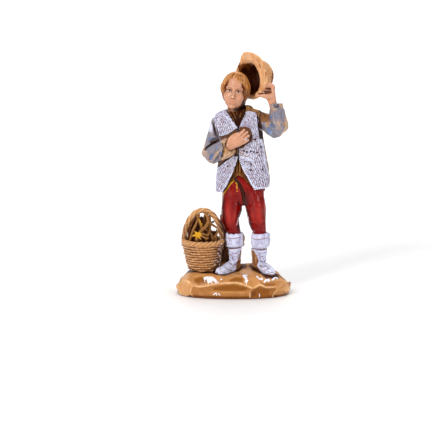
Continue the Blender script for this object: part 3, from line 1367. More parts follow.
def model_waistcoat():
    skin = cloth_from("waistcoat", 0.2, 6)
    rim = skin.most(skin.touch(line, 0.55, fade=0.03, edge=0.8) for line in EDGES)
    tuft = fleece(skin)
    band = skin.patch(CHEST_BAND, 0.3) * ease(0.02, 0.3, skin.facing)
    strap = skin.patch(SHOULDER_STRAP, 0.3)
    strip = side_strip(skin)
    dark = skin.patch(ARMHOLE_SHADE, 0.25) * ease(0.02, 0.15, skin.facing)
    dark = np.maximum(dark, 0.8 * skin.touches(FLEECE_SHADOWS, fade=0.1, edge=1.0))
    bare = np.maximum.reduce([band, strap, dark, strip])
    wool = (0.34 * (tuft - 0.45) + 0.1 * grain(skin.co, 2.4, 42)) * (1 - 0.6 * rim) * (1 - 0.6 * band)
    skin.press(wool + 0.2 * rim * (1 - bare) - 0.3 * band - 0.45 * dark)
    stitches = holes(skin, STITCHES, 0.6, 0.5)
    skin.stroke([(242.8, 161), (248, 162), (251.5, 164.5)], 0.42, -0.4)
    skin.stroke([(239.8, 157.4), (246, 159), (252.5, 162.2)], 0.5, 0.2)
    slit = skin.touch([(243, 161), (246.6, 161.4), (249.4, 162.8)], 0.34, fade=0.1, edge=0.9)
    skin.mask("stitch", np.maximum(stitches, 0.7 * slit))
    patchy = 0.2 * grain(skin.co, 3.6, 43)
    white = (1 - bare) * (1 - 0.6 * stitches)
    skin.mask("lilac", (0.5 + 1.8 * (tuft - 0.33) + 0.6 * rim) * white)
    skin.mask("coat", (0.5 + 1.5 * (tuft - 0.58) + patchy + 0.5 * rim) * white)
    skin.mask("worn", 0.8 * skin.patch(POCKET, 0.5) * (1 - 0.6 * ease(0.3, 0.6, tuft)))
    streaks = ease(0.35, 0.75, tuft)
    skin.mask("bare", np.maximum.reduce([band, strap, strip]))
    skin.mask("tan", np.maximum(strap * streaks * 0.9, strip * 0.55 + 0.25 * band * streaks))
    crease = skin.touch([(257.5, 109.5), (262, 112.6), (267, 117)], 0.5, fade=0.1)
    skin.mask("dark", np.maximum(dark, 0.75 * crease))
    back = ease(0.1, -0.2, skin.facing)
    skin.masks["more"] = 0.45 * band + 0.2 * back * ease(0.4, 0.1, tuft)
    look = painted(
        "fleece_paint", (132, 88, 66), (176, 140, 124), wash=(88, 46, 24), strength=0.9,
        rough=0.5, gloss=0.0, brush=(3.0, 3.0, 1.4),
        coats=[
            ("lilac", (176, 178, 210), (142, 134, 162), 0.5, 0.3, 0.5),
            ("coat", (240, 242, 254), (202, 206, 236), 0.5, 0.35, 0.55),
            ("worn", (170, 132, 104), (140, 98, 66), 0.7, 0.25, 0.5),
            ("bare", (124, 78, 38), (84, 44, 16), 0.6, 0.3, 0.4),
            ("tan", (198, 150, 98), (168, 118, 66), 0.8, 0.3, 0.42),
            ("dark", (60, 22, 7), (42, 12, 3), 0.3, 0.25, 0.5),
            ("stitch", (66, 24, 10), (48, 14, 4), 0.3, 0.2, 0.5),
        ],
    )
    piece("fleece_waistcoat", skin, look, "waistcoat", washed=0.8, depth=0.4)


# The turned cuff at the right wrist and the bent left elbow, as outlines in the picture.
CUFF = [
    (220.8, 141.6), (226, 138.6), (230, 139.5), (232, 147), (236, 152), (235, 157), (229, 160),
    (221, 160.5), (223.2, 150),
]
ELBOW = [(258, 134), (266, 131), (274, 130), (281, 122), (290, 118), (290, 134), (284, 142), (262, 143)]


# What is drawn on the sleeves. Folds are a line, its width and its height, and the brush marks of each
# colour a line and its width.
RIGHT_SLEEVE = {
    "folds": [
        ([(204, 150.4), (209, 145.6), (219.5, 139)], 1.3, -1.0),
        ([(206.5, 142.6), (212, 140.4), (219, 137)], 0.8, -0.5),
        ([(205.4, 147), (211, 143), (219, 139.4)], 0.6, 0.35),
        ([(205, 153.5), (211, 147.4), (219, 143.5)], 1.0, 0.35),
        ([(208, 162), (214, 153), (220, 147)], 0.9, -0.4),
        ([(213.5, 163.5), (218, 156.5), (222, 151)], 0.8, -0.35),
        ([(211, 163.4), (216, 155.4), (220.8, 149.4)], 0.7, 0.25),
        ([(213, 121), (210, 129), (207, 138)], 1.1, -0.3),
        ([(213.4, 124), (214.4, 131), (216, 137)], 0.9, -0.6),
        ([(222, 140.5), (223.6, 149), (221, 160.5)], 0.8, -0.6),
        ([(226.4, 139), (229.6, 148), (229, 156)], 0.8, 0.25),
        ([(224.6, 141), (226.6, 149), (224.4, 158)], 0.6, 0.15),
    ],
    "tan": [
        ([(227, 139.5), (229.6, 148), (228.6, 156)], 1.0),
        ([(224.5, 156), (226.5, 158), (229, 156)], 1.0),
        ([(205.6, 136), (203.8, 147), (204.4, 156)], 0.7),
        ([(205, 158.6), (210, 163.8), (218, 163.2)], 0.7),
        ([(212, 160), (216.4, 154.5), (219.4, 149)], 0.8),
        ([(209, 122), (206.6, 131), (205.4, 136)], 0.5),
    ],
    "blue": [
        ([(208.4, 138.4), (211, 138.6), (213, 140)], 0.75),
        ([(204.4, 149.4), (207, 147), (210.4, 144.6)], 0.5),
        ([(209.2, 160.2), (212, 156.4), (214.8, 152.2)], 0.95), ([(220, 155.4), (221.4, 151.5)], 0.7),
        ([(215, 148.5), (218, 146.2)], 0.5),
    ],
    "white": [
        ([(211.6, 121), (210.4, 127), (209.4, 134)], 1.25),
        ([(212.6, 126), (213.4, 132), (213.4, 136)], 0.6), ([(209.6, 149.4), (212.4, 148.6)], 0.4),
    ],
    "ochre": [([(223.6, 142), (225.6, 149), (224.4, 156)], 1.35), ([(226.6, 141), (227.8, 147)], 0.6)],
    "dark": [
        ([(212.6, 122), (214.6, 130), (217, 137)], 0.75),
        ([(204, 150.8), (209, 146.0), (219.5, 139.6)], 1.0),
        ([(209.6, 142.4), (214, 141.4), (219, 138)], 0.8),
        ([(222, 142.4), (223.8, 150), (222, 158)], 0.45), ([(230, 158), (234, 155.6), (236, 152)], 0.7),
    ],
}
LEFT_SLEEVE = {
    "folds": [
        ([(261, 124), (264, 131), (270, 137)], 1.0, -0.55),
        ([(267, 121), (270.6, 130), (277, 136)], 1.1, -0.45),
        ([(269.4, 121), (273, 128), (280, 134)], 0.8, 0.25),
        ([(271, 112), (270.5, 121), (276, 130)], 1.0, -0.3),
        ([(277, 110), (276, 119), (281, 128)], 1.0, -0.25),
        ([(282, 110), (282.5, 120), (284, 126)], 0.9, -0.2),
        ([(259, 133), (266, 135.4), (272, 138.4)], 0.8, 0.3),
        ([(268, 108.6), (274, 111.2), (282.4, 108)], 0.8, -0.3),
        ([(257.5, 109.5), (262, 112.6), (267, 117)], 0.5, -0.4),
    ],
    "tan": [
        ([(285, 111), (286.5, 121), (285.5, 130), (281, 136.5), (274, 139)], 1.0),
        ([(268, 109), (267.8, 114)], 0.5), ([(278.4, 103.4), (281.8, 105.6), (281.4, 109)], 0.9),
        ([(268, 106.6), (273, 109.6), (279, 109.6)], 0.6),
        ([(262, 133.4), (267, 136.6), (274, 138.6)], 0.8), ([(276.5, 120), (280, 127.5)], 0.6),
        ([(265.4, 122), (268, 128)], 0.6),
    ],
    "blue": [
        ([(266.8, 127.4), (269.4, 131.4), (272.4, 134.8)], 0.95),
        ([(270, 123.6), (271.8, 126.6), (273.2, 128.4)], 0.75), ([(270.5, 114.4), (271, 120)], 0.6),
        ([(261.6, 125), (262.4, 127.4)], 0.35),
    ],
    "white": [
        ([(261.5, 128.6), (263, 131.6), (265.2, 134)], 0.5), ([(268.6, 108.4), (270.6, 110.6)], 0.45),
        ([(275, 110.4), (277, 111.4)], 0.4),
    ],
    "ochre": [([(266.8, 121.4), (268.4, 126)], 0.6), ([(283, 121), (284.4, 127)], 0.5)],
    "dark": [([(258.6, 122), (260, 130), (262.6, 136.4)], 1.0)],
}
SLEEVES = {"sleeve_right": RIGHT_SLEEVE, "sleeve_left": LEFT_SLEEVE}
# How strong each colour's marks are, and how many rounds soften them.
MARKS = {"tan": (0.9, 5), "blue": (0.85, 5), "white": (0.9, 16), "ochre": (0.85, 5)}


def model_sleeve(node):
    marks = SLEEVES[node]
    skin = cloth_from(node, 0.22, 7)
    skin.strokes(marks["folds"], 1.9)
    if node == "sleeve_right":
        end = skin.patch(CUFF, 0.5)
        skin.press(0.45 * end)
        skin.stroke([(221.4, 141.6), (223.6, 149), (221.6, 159)], 0.6, -0.7)
    else:
        skin.press(0.75 * skin.patch(ELBOW, 2.0))
    weave = combed(skin.co[:, 2] + 0.5 * grain(skin.co, 2.0, 54), skin.co[:, 0], 0.75, 3.5, 9) - 0.5
    worn = ease(-0.2, 0.5, grain(skin.co, 5.0, 55))
    skin.press(0.06 * grain(skin.co, 1.4, 51) + 0.12 * grain(skin.co, 3.2, 53) + 0.1 * weave * worn)
    for name, (strength, rounds) in MARKS.items():
        mask = skin.spread(skin.touches(marks[name], 1.35, fade=0.3, edge=1.0), rounds)
        skin.mask(name, 1.15 * mask * strength)
    if node == "sleeve_right":
        skin.mask("tan", np.maximum(skin.masks["tan"], end * (0.95 + 0.15 * grain(skin.co, 1.0, 56))))
    rough = grain(skin.co, 2.8, 52)
    skin.mask("coat", 0.85 + 0.45 * rough)
    threads = ease(0.2, 0.8, rough) * 0.4 + 0.25 * ease(0.5, 0.9, weave + 0.5)
    skin.mask("tan", np.maximum(skin.masks["tan"], threads))
    dark = skin.touches(marks["dark"], fade=0.08, edge=0.8)
    skin.mask("bare", skin.patch(SHOULDER_STRAP, 0.3))
    if node == "sleeve_left":
        mouth = np.hypot((skin.picture[:, 0] - 276.6) / 3.6, (skin.picture[:, 1] - 105.6) / 2.9)
        inside = ease(1.0, 0.5, mouth) * (skin.facing > 0.1) * ease(83.6, 84.4, skin.co[:, 2])
        skin.press(-1.3 * inside)
        dark = np.maximum(dark, 0.7 * inside)
    skin.mask("dark", np.maximum(dark, skin.patch(ARMHOLE_SHADE, 0.3)))
    look = painted(
        node + "_paint", (204, 160, 120), (214, 196, 186), wash=(62, 28, 12), rough=0.36, gloss=0.3,
        coats=[
            ("coat", (140, 142, 160), (104, 96, 108), 0.5, 0.45, 0.36),
            ("blue", (84, 132, 190), (76, 104, 148), 0.22, 0.5, 0.34),
            ("tan", (208, 172, 138), (186, 144, 108), 0.22, 0.5, 0.4),
            ("ochre", (196, 140, 76), (172, 114, 52), 0.2, 0.45, 0.38),
            ("white", (236, 234, 248), (214, 212, 230), 0.35, 0.4, 0.5),
            ("bare", (160, 106, 54), (86, 44, 14), 0.8, 0.35, 0.4),
            ("dark", (62, 24, 8), (46, 14, 4), 0.3, 0.45, 0.5),
        ],
        brush=(1, 1, 0.6),
    )
    piece(node + "_cloth", skin, look, node, washed=1.35, depth=0.2)


# Head, hair and hands

# The place, the tilt and the size of the head.
LEANING = Matrix.Rotation(math.radians(8), 4, "Y") @ Matrix.Rotation(math.radians(-7), 4, "Z")
HEAD = np.array(Matrix.Translation((0.6, -0.4, 91.6)) @ LEANING) @ np.diag([1.07, 1.04, 1.03, 1])


def on_head(points):
    """From the head's own frame, face towards -y, to the figure's."""
    return np.asarray(points, float) @ HEAD[:3, :3].T + HEAD[:3, 3]


def off_head(points):
    """From the figure's frame to the head's own."""
    return (np.asarray(points, float) - HEAD[:3, 3]) @ np.linalg.inv(HEAD[:3, :3]).T


def both(lump, add, *args, **options):
    """The same form on his left and, mirrored, on his right."""
    mirror = np.array([-1, 1, 1])
    add(lump, *args, **options)
    add(lump, *[np.asarray(a, float) * mirror if i == 0 else a for i, a in enumerate(args)], **options)


def model_head():
    lump = Lump((-6.4, -8.4, -16), (6.4, 7.4, 8.4), 0.16)
    egg, rod = Lump.egg, Lump.rod
    lump.egg((0, 0.7, 1.7), (4.65, 5.3, 5.3), 0)
    lump.egg((0, -1.3, -1.9), (4.15, 3.75, 4.9), 1.2)
    lump.egg((0, -1.25, 3.0), (3.9, 3.9, 3.6), 0.8)
    lump.egg((0, -1.9, -5.0), (3.3, 2.7, 2.6), 1.2)
    lump.egg((0, -3.75, -6.8), (1.25, 0.95, 0.9), 0.9)
    both(lump, egg, (2.35, -3.1, -2.5), (1.55, 1.35, 1.5), soft=0.9)
    both(lump, rod, [(0.4, -4.75, 1.25), (1.8, -4.6, 1.45), (3.2, -3.5, 1.0)], (0.45, 0.5, 0.4), soft=0.7)
    both(lump, egg, (1.85, -5.15, -0.25), (1.2, 0.8, 0.75), soft=0.5, hollow=True)
    both(lump, egg, (1.85, -3.9, -0.3), (0.95, 0.95, 0.85), soft=0.1)
    both(
        lump, rod, [(0.95, -4.55, -0.35), (1.4, -4.85, 0.1), (2.0, -4.85, 0.2), (2.85, -4.2, -0.3)],
        (0.16, 0.2, 0.15), soft=0.12,
    )
    both(
        lump, rod, [(0.95, -4.55, -0.4), (1.7, -4.75, -0.8), (2.8, -4.2, -0.4)], (0.12, 0.16, 0.12),
        soft=0.15,
    )
    lump.rod([(0, -4.75, 1.0), (0, -5.15, -0.6), (0, -5.75, -2.3)], (0.5, 0.5, 0.6), 0.5)
    lump.egg((0, -5.8, -2.55), (0.68, 0.6, 0.55), 0.3)
    both(lump, egg, (0.68, -5.25, -2.75), (0.42, 0.5, 0.36), soft=0.2)
    both(lump, egg, (0.34, -5.75, -3.08), (0.16, 0.2, 0.12), soft=0.1, hollow=True)
    lump.egg((0, -4.55, -4.45), (1.5, 0.75, 1.0), 0.5)
    lump.rod(
        [
            (-1.3, -4.7, -4.34), (-0.4, -5.25, -4.24), (0, -5.22, -4.3), (0.4, -5.25, -4.24),
            (1.3, -4.7, -4.34),
        ],
        (0.18, 0.27, 0.24, 0.27, 0.18), 0.15,
    )
    lump.rod([(-1.0, -4.75, -4.72), (0, -5.18, -4.9), (1.0, -4.75, -4.72)], (0.22, 0.33, 0.22), 0.15)
    lump.rod(
        [(-1.55, -4.75, -4.42), (0, -5.55, -4.58), (1.55, -4.75, -4.42)], (0.1, 0.13, 0.1), 0.1,
        hollow=True,
    )
    lump.egg((0, -5.3, -5.45), (0.9, 0.35, 0.2), 0.25, hollow=True)
    both(lump, egg, (4.5, 0.3, -0.8), (0.6, 1.0, 1.5), soft=0.3)
    collar = off_head([(2.7, 1.4, 78.6)])[0]
    lump.rod([(0, 0.9, -3.0), (0.2, 1.0, -8.0), collar], (2.6, 2.45, 2.5), 0.8)
    both(lump, rod, [(1.6, -0.9, -7.2), (0.9, -1.1, -12.5)], (0.45, 0.5), soft=0.6)
    skin = lump.skin().smooth(2)
    local = skin.co.copy()
    skin.co = on_head(skin.co)
    skin.turn()
    x, y, z = local.T
    front = ease(-2.5, -3.6, y)
    side = np.abs(x)

    def spot(cx, cz, rx, rz, edge=0.5):
        r = np.hypot((side - cx) / rx, (z - cz) / rz)
        return (1 - ease(1 - edge, 1, r)) * front

    lids = spot(1.9, -0.28, 1.05, 0.42)
    iris = spot(1.85, -0.25, 0.5, 0.5, 0.35)
    arch = z - (1.12 - 0.13 * (side - 1.8) ** 2)
    brow = (1 - ease(0.12, 0.3, np.abs(arch))) * ease(0.6, 1.0, side) * ease(3.3, 2.7, side) * front
    upper = np.abs(z - (0.16 - 0.28 * (side - 1.85) ** 2))
    lash = (1 - ease(0.1, 0.24, upper)) * ease(0.75, 1.0, side) * ease(3.0, 2.7, side) * front
    skin.mask("white", lids)
    skin.mask("dark", np.maximum.reduce([iris * lids, 0.9 * lash, 0.55 * brow]))
    mouth = np.hypot(x / 1.5, (z + 4.56) / 0.5)
    cheek = np.hypot((side - 2.5) / 1.7, (z + 2.6) / 1.5)
    skin.mask("lips", (1 - ease(0.5, 1.0, mouth)) * front * 0.75)
    skin.mask("blush", (1 - ease(0.2, 1.0, cheek)) * front * 0.55)
    neck = ease(-6.4, -8.2, z) * ease(-3.6, -2.2, y)
    cords = grain(skin.co, (0.7, 0.7, 3), 61)
    skin.mask("neck", neck * (0.8 + 0.5 * cords))
    shadow = np.maximum(ease(-8.6, -10.6, z + 0.3 * cords), ease(0.2, 1.9, x + 0.4 * cords))
    skin.mask("collar", neck * shadow)
    skin.masks["more"] = 0.4 * ease(3.9, 4.6, side) * (z < 3)
    look = painted(
        "face_paint", (206, 147, 114), (235, 184, 148), wash=(104, 48, 20), rough=0.36, gloss=0.3,
        coats=[
            ("neck", (134, 88, 50), (96, 56, 26), 0.5, 0.5, 0.4),
            ("collar", (58, 22, 6), (44, 14, 4), 0.4, 0.4, 0.45),
            ("blush", (220, 142, 110), (224, 152, 120), 0.25, 0.4, 0.4),
            ("lips", (198, 116, 96), (190, 106, 86), 0.15, 0.35, 0.35),
            ("white", (232, 212, 194), (222, 198, 178), 0.1, 0.2, 0.3),
            ("dark", (58, 26, 12), (84, 42, 20), 0.1, 0.2, 0.3),
        ],
        brush=(1, 1, 1),
    )
    piece("head_and_neck", skin, look, "head", washed=0.75, depth=0.16)


# Where the hair leaves the face free, [x, z] in the head's own frame.
FACE_OPENING = [
    (-6.0, -9.0), (-5.6, -4.2), (-4.7, -2.6), (-4.6, -0.6), (-4.2, 1.6), (-3.3, 3.3), (-2.0, 4.7),
    (-1.0, 5.4), (0.2, 5.0), (1.0, 4.2), (1.9, 4.2), (2.8, 3.4), (3.7, 2.0), (4.3, 0.2), (4.6, -1.6),
    (4.7, -2.8), (5.6, -4.4), (6.0, -9.0),
]
# Locks laid over the edge of that opening, with their thickness.
FRINGE = [
    (
        [(1.0, 7.2), (-1.0, 6.7), (-2.9, 5.1), (-4.2, 2.9), (-4.8, 0.6), (-5.0, -1.9)],
        (0.4, 0.7, 0.8, 0.8, 0.7, 0.4),
    ),
    (
        [(1.0, 7.2), (2.4, 6.3), (3.7, 4.5), (4.6, 2.1), (4.9, 0.0), (4.9, -2.2)],
        (0.4, 0.7, 0.8, 0.8, 0.7, 0.4),
    ),
    ([(1.0, 7.1), (0.9, 5.9), (1.2, 4.9), (1.7, 3.9)], (0.35, 0.5, 0.4, 0.12)),
    ([(0.4, 7.0), (-0.6, 6.2), (-1.6, 5.5), (-2.4, 4.6)], (0.35, 0.5, 0.4, 0.12)),
    ([(1.6, 6.9), (2.5, 5.5), (3.0, 4.3), (3.3, 3.2)], (0.35, 0.5, 0.4, 0.12)),
]


def on_hair(places):
    """Where [x, z] lies on the front of the hair, in the head's own frame."""
    x, z = np.asarray(places, float).T
    bulge = np.sqrt(np.maximum(0.05, 1 - (x / 5.55) ** 2 - ((z - 1.9) / 6.1) ** 2))
    return np.stack([x, 0.75 - 6.1 * bulge, z], 1)


# Grooves drawn between the locks over the face: a line, its width and its height.
PARTINGS = [
    ([(236.4, 73.4), (233.4, 74.6), (230.6, 77.2), (228.6, 81.2)], 0.6, -0.5),
    ([(235.5, 72.9), (230.5, 74.4), (225.5, 78.0), (221.6, 83.6)], 0.5, -0.35),
    ([(224.2, 83.5), (222.2, 86.2), (221.6, 91)], 0.55, -0.5),
    ([(221, 86), (220.4, 91), (223, 96.5)], 0.5, -0.4),
    ([(237.0, 73.2), (238.4, 76.5), (238.6, 80.5)], 0.5, -0.45),
    ([(238.4, 73.0), (241.6, 77.0), (243.4, 83)], 0.55, -0.5),
    ([(240.4, 73.6), (244.8, 78.6), (246.8, 86)], 0.5, -0.4),
    ([(244.6, 87), (245.4, 92), (244.4, 97)], 0.55, -0.5),
    ([(247.4, 88), (248, 92), (246.4, 97.4)], 0.5, -0.4),
]


def model_hair():
    """Hair that leaves a parting over the brow, falls straight and ends in a bob over the ears."""
    lump = Lump((-7.2, -8.0, -8.2), (7.2, 8.4, 9.2), 0.17)
    lump.egg((0, 0.7, 1.9), (5.55, 6.1, 6.1), 0)
    lump.egg((0, 1.6, -1.2), (5.7, 5.1, 4.5), 0.8)
    lump.cut_front(FACE_OPENING, -1.3, 0.35)
    for line, thick in FRINGE:
        lump.rod(on_hair(curve(line, 4)), thick, 0.5)
    dice = np.random.default_rng(31)
    for k in range(22):
        azimuth = math.radians(58 + k * 244 / 21)
        out = 4.55 + 0.25 * dice.random()
        drop = -2.3 - 3.0 * ease(0.2, -0.4, math.cos(azimuth)) - 0.7 * dice.random()
        line = []
        for t in np.linspace(0, 1, 6):
            r = (out + 0.7 * math.sin(math.pi * min(1, t + 0.1))) * (1 - 0.12 * ease(0.65, 1, t))
            turn = azimuth + 0.06 * math.sin(4 * t + k)
            line.append((r * math.sin(turn), 0.9 - (r + 0.45) * math.cos(turn), 4.0 + (drop - 4.0) * t))
        lump.rod(curve(line, 2), (0.4, 0.7, 0.85, 0.9, 0.75, 0.25), 0.35)
    lump.egg((0, -4.6, -7.9), (7.6, 5.6, 4.9), 0.4, hollow=True)
    lump.egg((3.1, 2.4, -5.4), (1.7, 2.2, 2.6), 0.3)
    skin = lump.skin().smooth(3)
    x, y, z = skin.co.T
    turn = np.arctan2(x - 0.9, -(y + 1.0))
    fall = z - 0.35 * (y + 1.0)
    wander = 0.06 * grain(skin.co, (3.0, 3.0, 4.5), 64) + 0.03 * grain(skin.co, 1.5, 65)
    locks = combed((turn + wander) * 6.0, fall, 1.9, 26.0, 7)
    strands = combed((turn + 1.6 * wander) * 6.0 + 0.3, fall, 0.72, 22.0, 8)
    spread = ease(0.6, 2.6, np.hypot(x - 0.9, y + 1.0))
    skin.press(spread * (0.34 * (locks - 0.6) + 0.2 * (strands - 0.5)))
    skin.co = on_head(skin.co)
    skin.turn()
    skin.strokes(PARTINGS)
    skin.smooth(1)
    ragged = z + 0.9 * grain(skin.co, (1.2, 1.2, 3.0), 66)
    nape = ease(-3.2, -4.0, ragged + 0.4 * ease(4.0, 4.8, x)) * ease(1.2, 2.0, x) * ease(-2.5, -1.2, y)
    under = ease(-2.6, -5.0, ragged) * ease(-0.2, 1.0, y)
    skin.mask("nape", 0.95 * nape)
    left, right = ease(0.5, 4.5, x) * ease(4.5, 1.0, z), ease(-2.5, -5.0, x) * ease(4, 0, z)
    skin.masks["more"] = 0.9 * nape + 0.55 * under + 0.4 * left + 0.25 * right
    skin.mask("groove", 0.85 * ease(0.55, 0.2, locks) * spread + 0.6 * ease(0.45, 0.15, strands) * spread)
    look = painted(
        "hair_paint", (204, 138, 72), (242, 196, 134), wash=(120, 62, 12),
        rough=0.34, gloss=0.35, brush=(1.5, 1.5, 0.5),
        coats=[
            ("groove", (168, 100, 34), (146, 82, 22), 0.6, 0.5, 0.36),
            ("nape", (74, 32, 8), (52, 18, 4), 0.4, 0.4, 0.45),
        ],
    )
    piece("bobbed_hair", skin, look, "hair", washed=0.7, depth=0.3)


def unit(way):
    """A direction of length 1."""
    return np.array(way) / np.linalg.norm(way)


# The four fingers of the right hand: how far across the knuckle lies, how it leans, and its length.
FINGERS = ((-1.75, -0.10, 4.9), (-0.55, -0.03, 5.5), (0.62, 0.05, 5.2), (1.75, 0.16, 4.1))


def model_right_hand():
    """Flat on the chest, fingers towards the left shoulder, the little finger apart."""
    wrist = np.array([-2.3, -8.9, 67.6])
    along = unit([0.80, 0.10, 0.52])
    across = unit([0.52, 0.12, -0.84])
    out = np.cross(across, along)

    def at(a, c, o):
        return wrist + along * a + across * c + out * o

    lump = Lump((-7.5, -13.5, 61.5), (11, -4, 79), 0.16)
    lump.rod([at(-3.4, 0.2, -0.9), at(0.4, 0.0, 0.0)], (1.75, 1.8), 0.4, flat=(out, 0.8))
    lump.rod(
        [at(0.2, 0, 0), at(2.6, -0.1, 0.2), at(5.0, 0.0, 0.35)], (1.75, 2.35, 2.6), 0.8, flat=(out, 0.55),
    )
    for c, spread, length in FINGERS:
        knuckle = at(4.6, c, 0.45)
        tip = at(4.6 + length, c + spread * length, -0.35)
        middle = at(4.6 + length * 0.52, c + spread * length * 0.5, 0.55)
        lump.rod(curve([knuckle, middle, tip], 3), (0.78, 0.74, 0.72, 0.6), 0.16)
        lump.egg(knuckle, (0.85, 0.8, 0.8), 0.35)
    thumb = [at(0.9, -1.5, 0.2), at(2.8, -2.6, 0.2), at(5.2, -2.75, 0.1), at(6.6, -2.5, 0.0)]
    lump.rod(curve(thumb, 3), (0.95, 0.9, 0.8, 0.6), 0.3)
    skin = lump.skin().smooth(2)
    skin.mask("white", skin.touch([(245.2, 140.2), (247.4, 138.8), (249, 137.4)], 0.5, fade=0, edge=0.7))
    look = painted(
        "hand_paint", (214, 152, 118), (244, 200, 170), wash=(96, 40, 12), rough=0.34, gloss=0.4,
        coats=[("white", (244, 240, 250), (220, 214, 230), 0.6, 0.2, 0.5)],
        brush=(1, 1, 1),
    )
    piece("hand_on_chest", skin, look, "hand_right", washed=1.0, depth=0.16)
    return look


# Folds of the left hand: a line, its width and its height.
GRIP_FOLDS = [
    ([(272.8, 93.6), (269, 92.6), (264, 93.0), (259.5, 94.2)], 0.75, -0.55),
    ([(271.5, 89.6), (268.5, 88.8), (266, 89.6)], 0.45, -0.3),
    ([(262, 99), (265, 97.4), (268.5, 97.2)], 0.5, -0.15),
    ([(270.8, 86.4), (272.4, 89.6), (272.8, 93)], 0.4, 0.12),
    ([(257.4, 95.4), (258.8, 96.2), (258.6, 97.4)], 0.3, -0.12),
]


def model_left_hand(look):
    """Raised to the hat: thumb along the brim's edge, forefinger bent over it, the others closed behind."""
    wrist = np.array([18.6, -2.9, 85.8])
    palm = 6.0

    def at(dx, dy, dz):
        return wrist + palm * np.array([dx, dy, dz])

    lump = Lump((7.5, -8.5, 80.5), (22.5, 5, 97.5), 0.15)
    lump.rod([at(-0.15, 0.02, -0.55), at(-0.26, 0, 0.12)], (1.75, 1.7), 0.3)
    back_of_hand = [
        at(-0.26, 0, 0.1), at(-0.36, -0.05, 0.42), at(-0.46, -0.06, 0.72), at(-0.5, -0.02, 0.92),
    ]
    lump.rod(back_of_hand, (1.7, 2.15, 2.5, 2.3), 0.7, flat=((0.1, -1, 0), 0.62))
    for i in (3, 2, 1, 0):
        back, curl = 0.19 * i, 0.10 * i
        line = [
            at(-0.3, -0.1 + back, 0.84), at(-0.25 - curl / 2, -0.2 + back, 1.1 - curl),
            at(-0.3 - curl / 2, -0.27 + back, 1.3 - curl), at(-0.5 - curl / 2, -0.28 + back, 1.37 - curl),
            at(-0.72, -0.2 + back, 1.26 - curl),
        ]
        lump.rod(curve(line, 3), (1.0, 1.08, 1.12, 1.05, 0.8), 0.1)
    thumb = [at(-0.42, -0.14, 0.5), at(-0.75, -0.26, 0.6), at(-1.02, -0.31, 0.66), at(-1.28, -0.31, 0.68)]
    lump.rod(curve(thumb, 3), (1.35, 1.25, 1.05, 0.85), 0.45)
    skin = lump.skin().smooth(2)
    skin.strokes(GRIP_FOLDS)
    crease = skin.touch([(272.4, 92.4), (268, 91.8), (262, 92.8), (257.5, 93.8)], 1.1, fade=0.1, edge=1.0)
    grip = skin.patch(
        [(263, 84), (268, 83.4), (271.4, 86), (271.6, 91.6), (266, 93), (258, 94.6), (257, 92), (262, 90)],
        1.4,
    )
    fold = skin.touch([(271, 89.2), (267.5, 88.4), (265.4, 89.8)], 0.6, fade=0.1)
    skin.masks["more"] = 0.65 * crease + 0.25 * grip + 0.3 * fold
    piece("hand_at_hat", skin, look, "hand_left", washed=0.7, depth=0.16)


# Hat

# The dark of the hat's hollow as it shows past the hair, and the lining round it.
HAT_PIT = [
    (238, 67), (243, 67), (247, 68.6), (251, 72), (253.6, 77), (254.6, 83), (254.4, 90), (252.6, 94),
    (249, 97), (244, 97),
]
HAT_BAND = [
    (238.5, 66), (243, 63.4), (249, 63.6), (254.4, 67.6), (258, 74), (259, 81), (257.8, 89), (254, 95),
    (252, 92), (240, 90),
]


# Folds of the brim and the crown: a line, its width and its height.
HAT_FOLDS = [
    ([(249.5, 55.5), (255, 62), (258.5, 71), (260.5, 81), (261.8, 91)], 1.2, 0.3),
    ([(252, 55), (258, 62.5), (262, 72), (263.5, 82), (263.8, 90)], 0.9, -0.42),
    ([(257, 58), (263, 66), (266, 76), (266.5, 84)], 0.8, -0.4),
    ([(262, 61), (267.5, 68), (269.5, 77), (268.5, 83)], 0.7, -0.42),
    ([(266.5, 65), (270.5, 71), (271.5, 78)], 0.6, -0.35),
    ([(265, 71), (266.2, 78), (265.4, 84)], 0.5, -0.35), ([(260, 62), (264, 69), (266, 73)], 0.6, 0.25),
    ([(268, 72), (269, 79), (267.5, 84)], 0.45, 0.25), ([(243, 55), (246, 60), (248, 63.5)], 0.8, -0.12),
    ([(248, 54), (251.5, 60), (254.5, 66)], 0.8, -0.15),
    ([(255.4, 84), (256.6, 91), (256, 98)], 0.6, 0.3),
    ([(253.4, 85), (253.8, 91), (252.6, 97)], 0.6, -0.3),
]


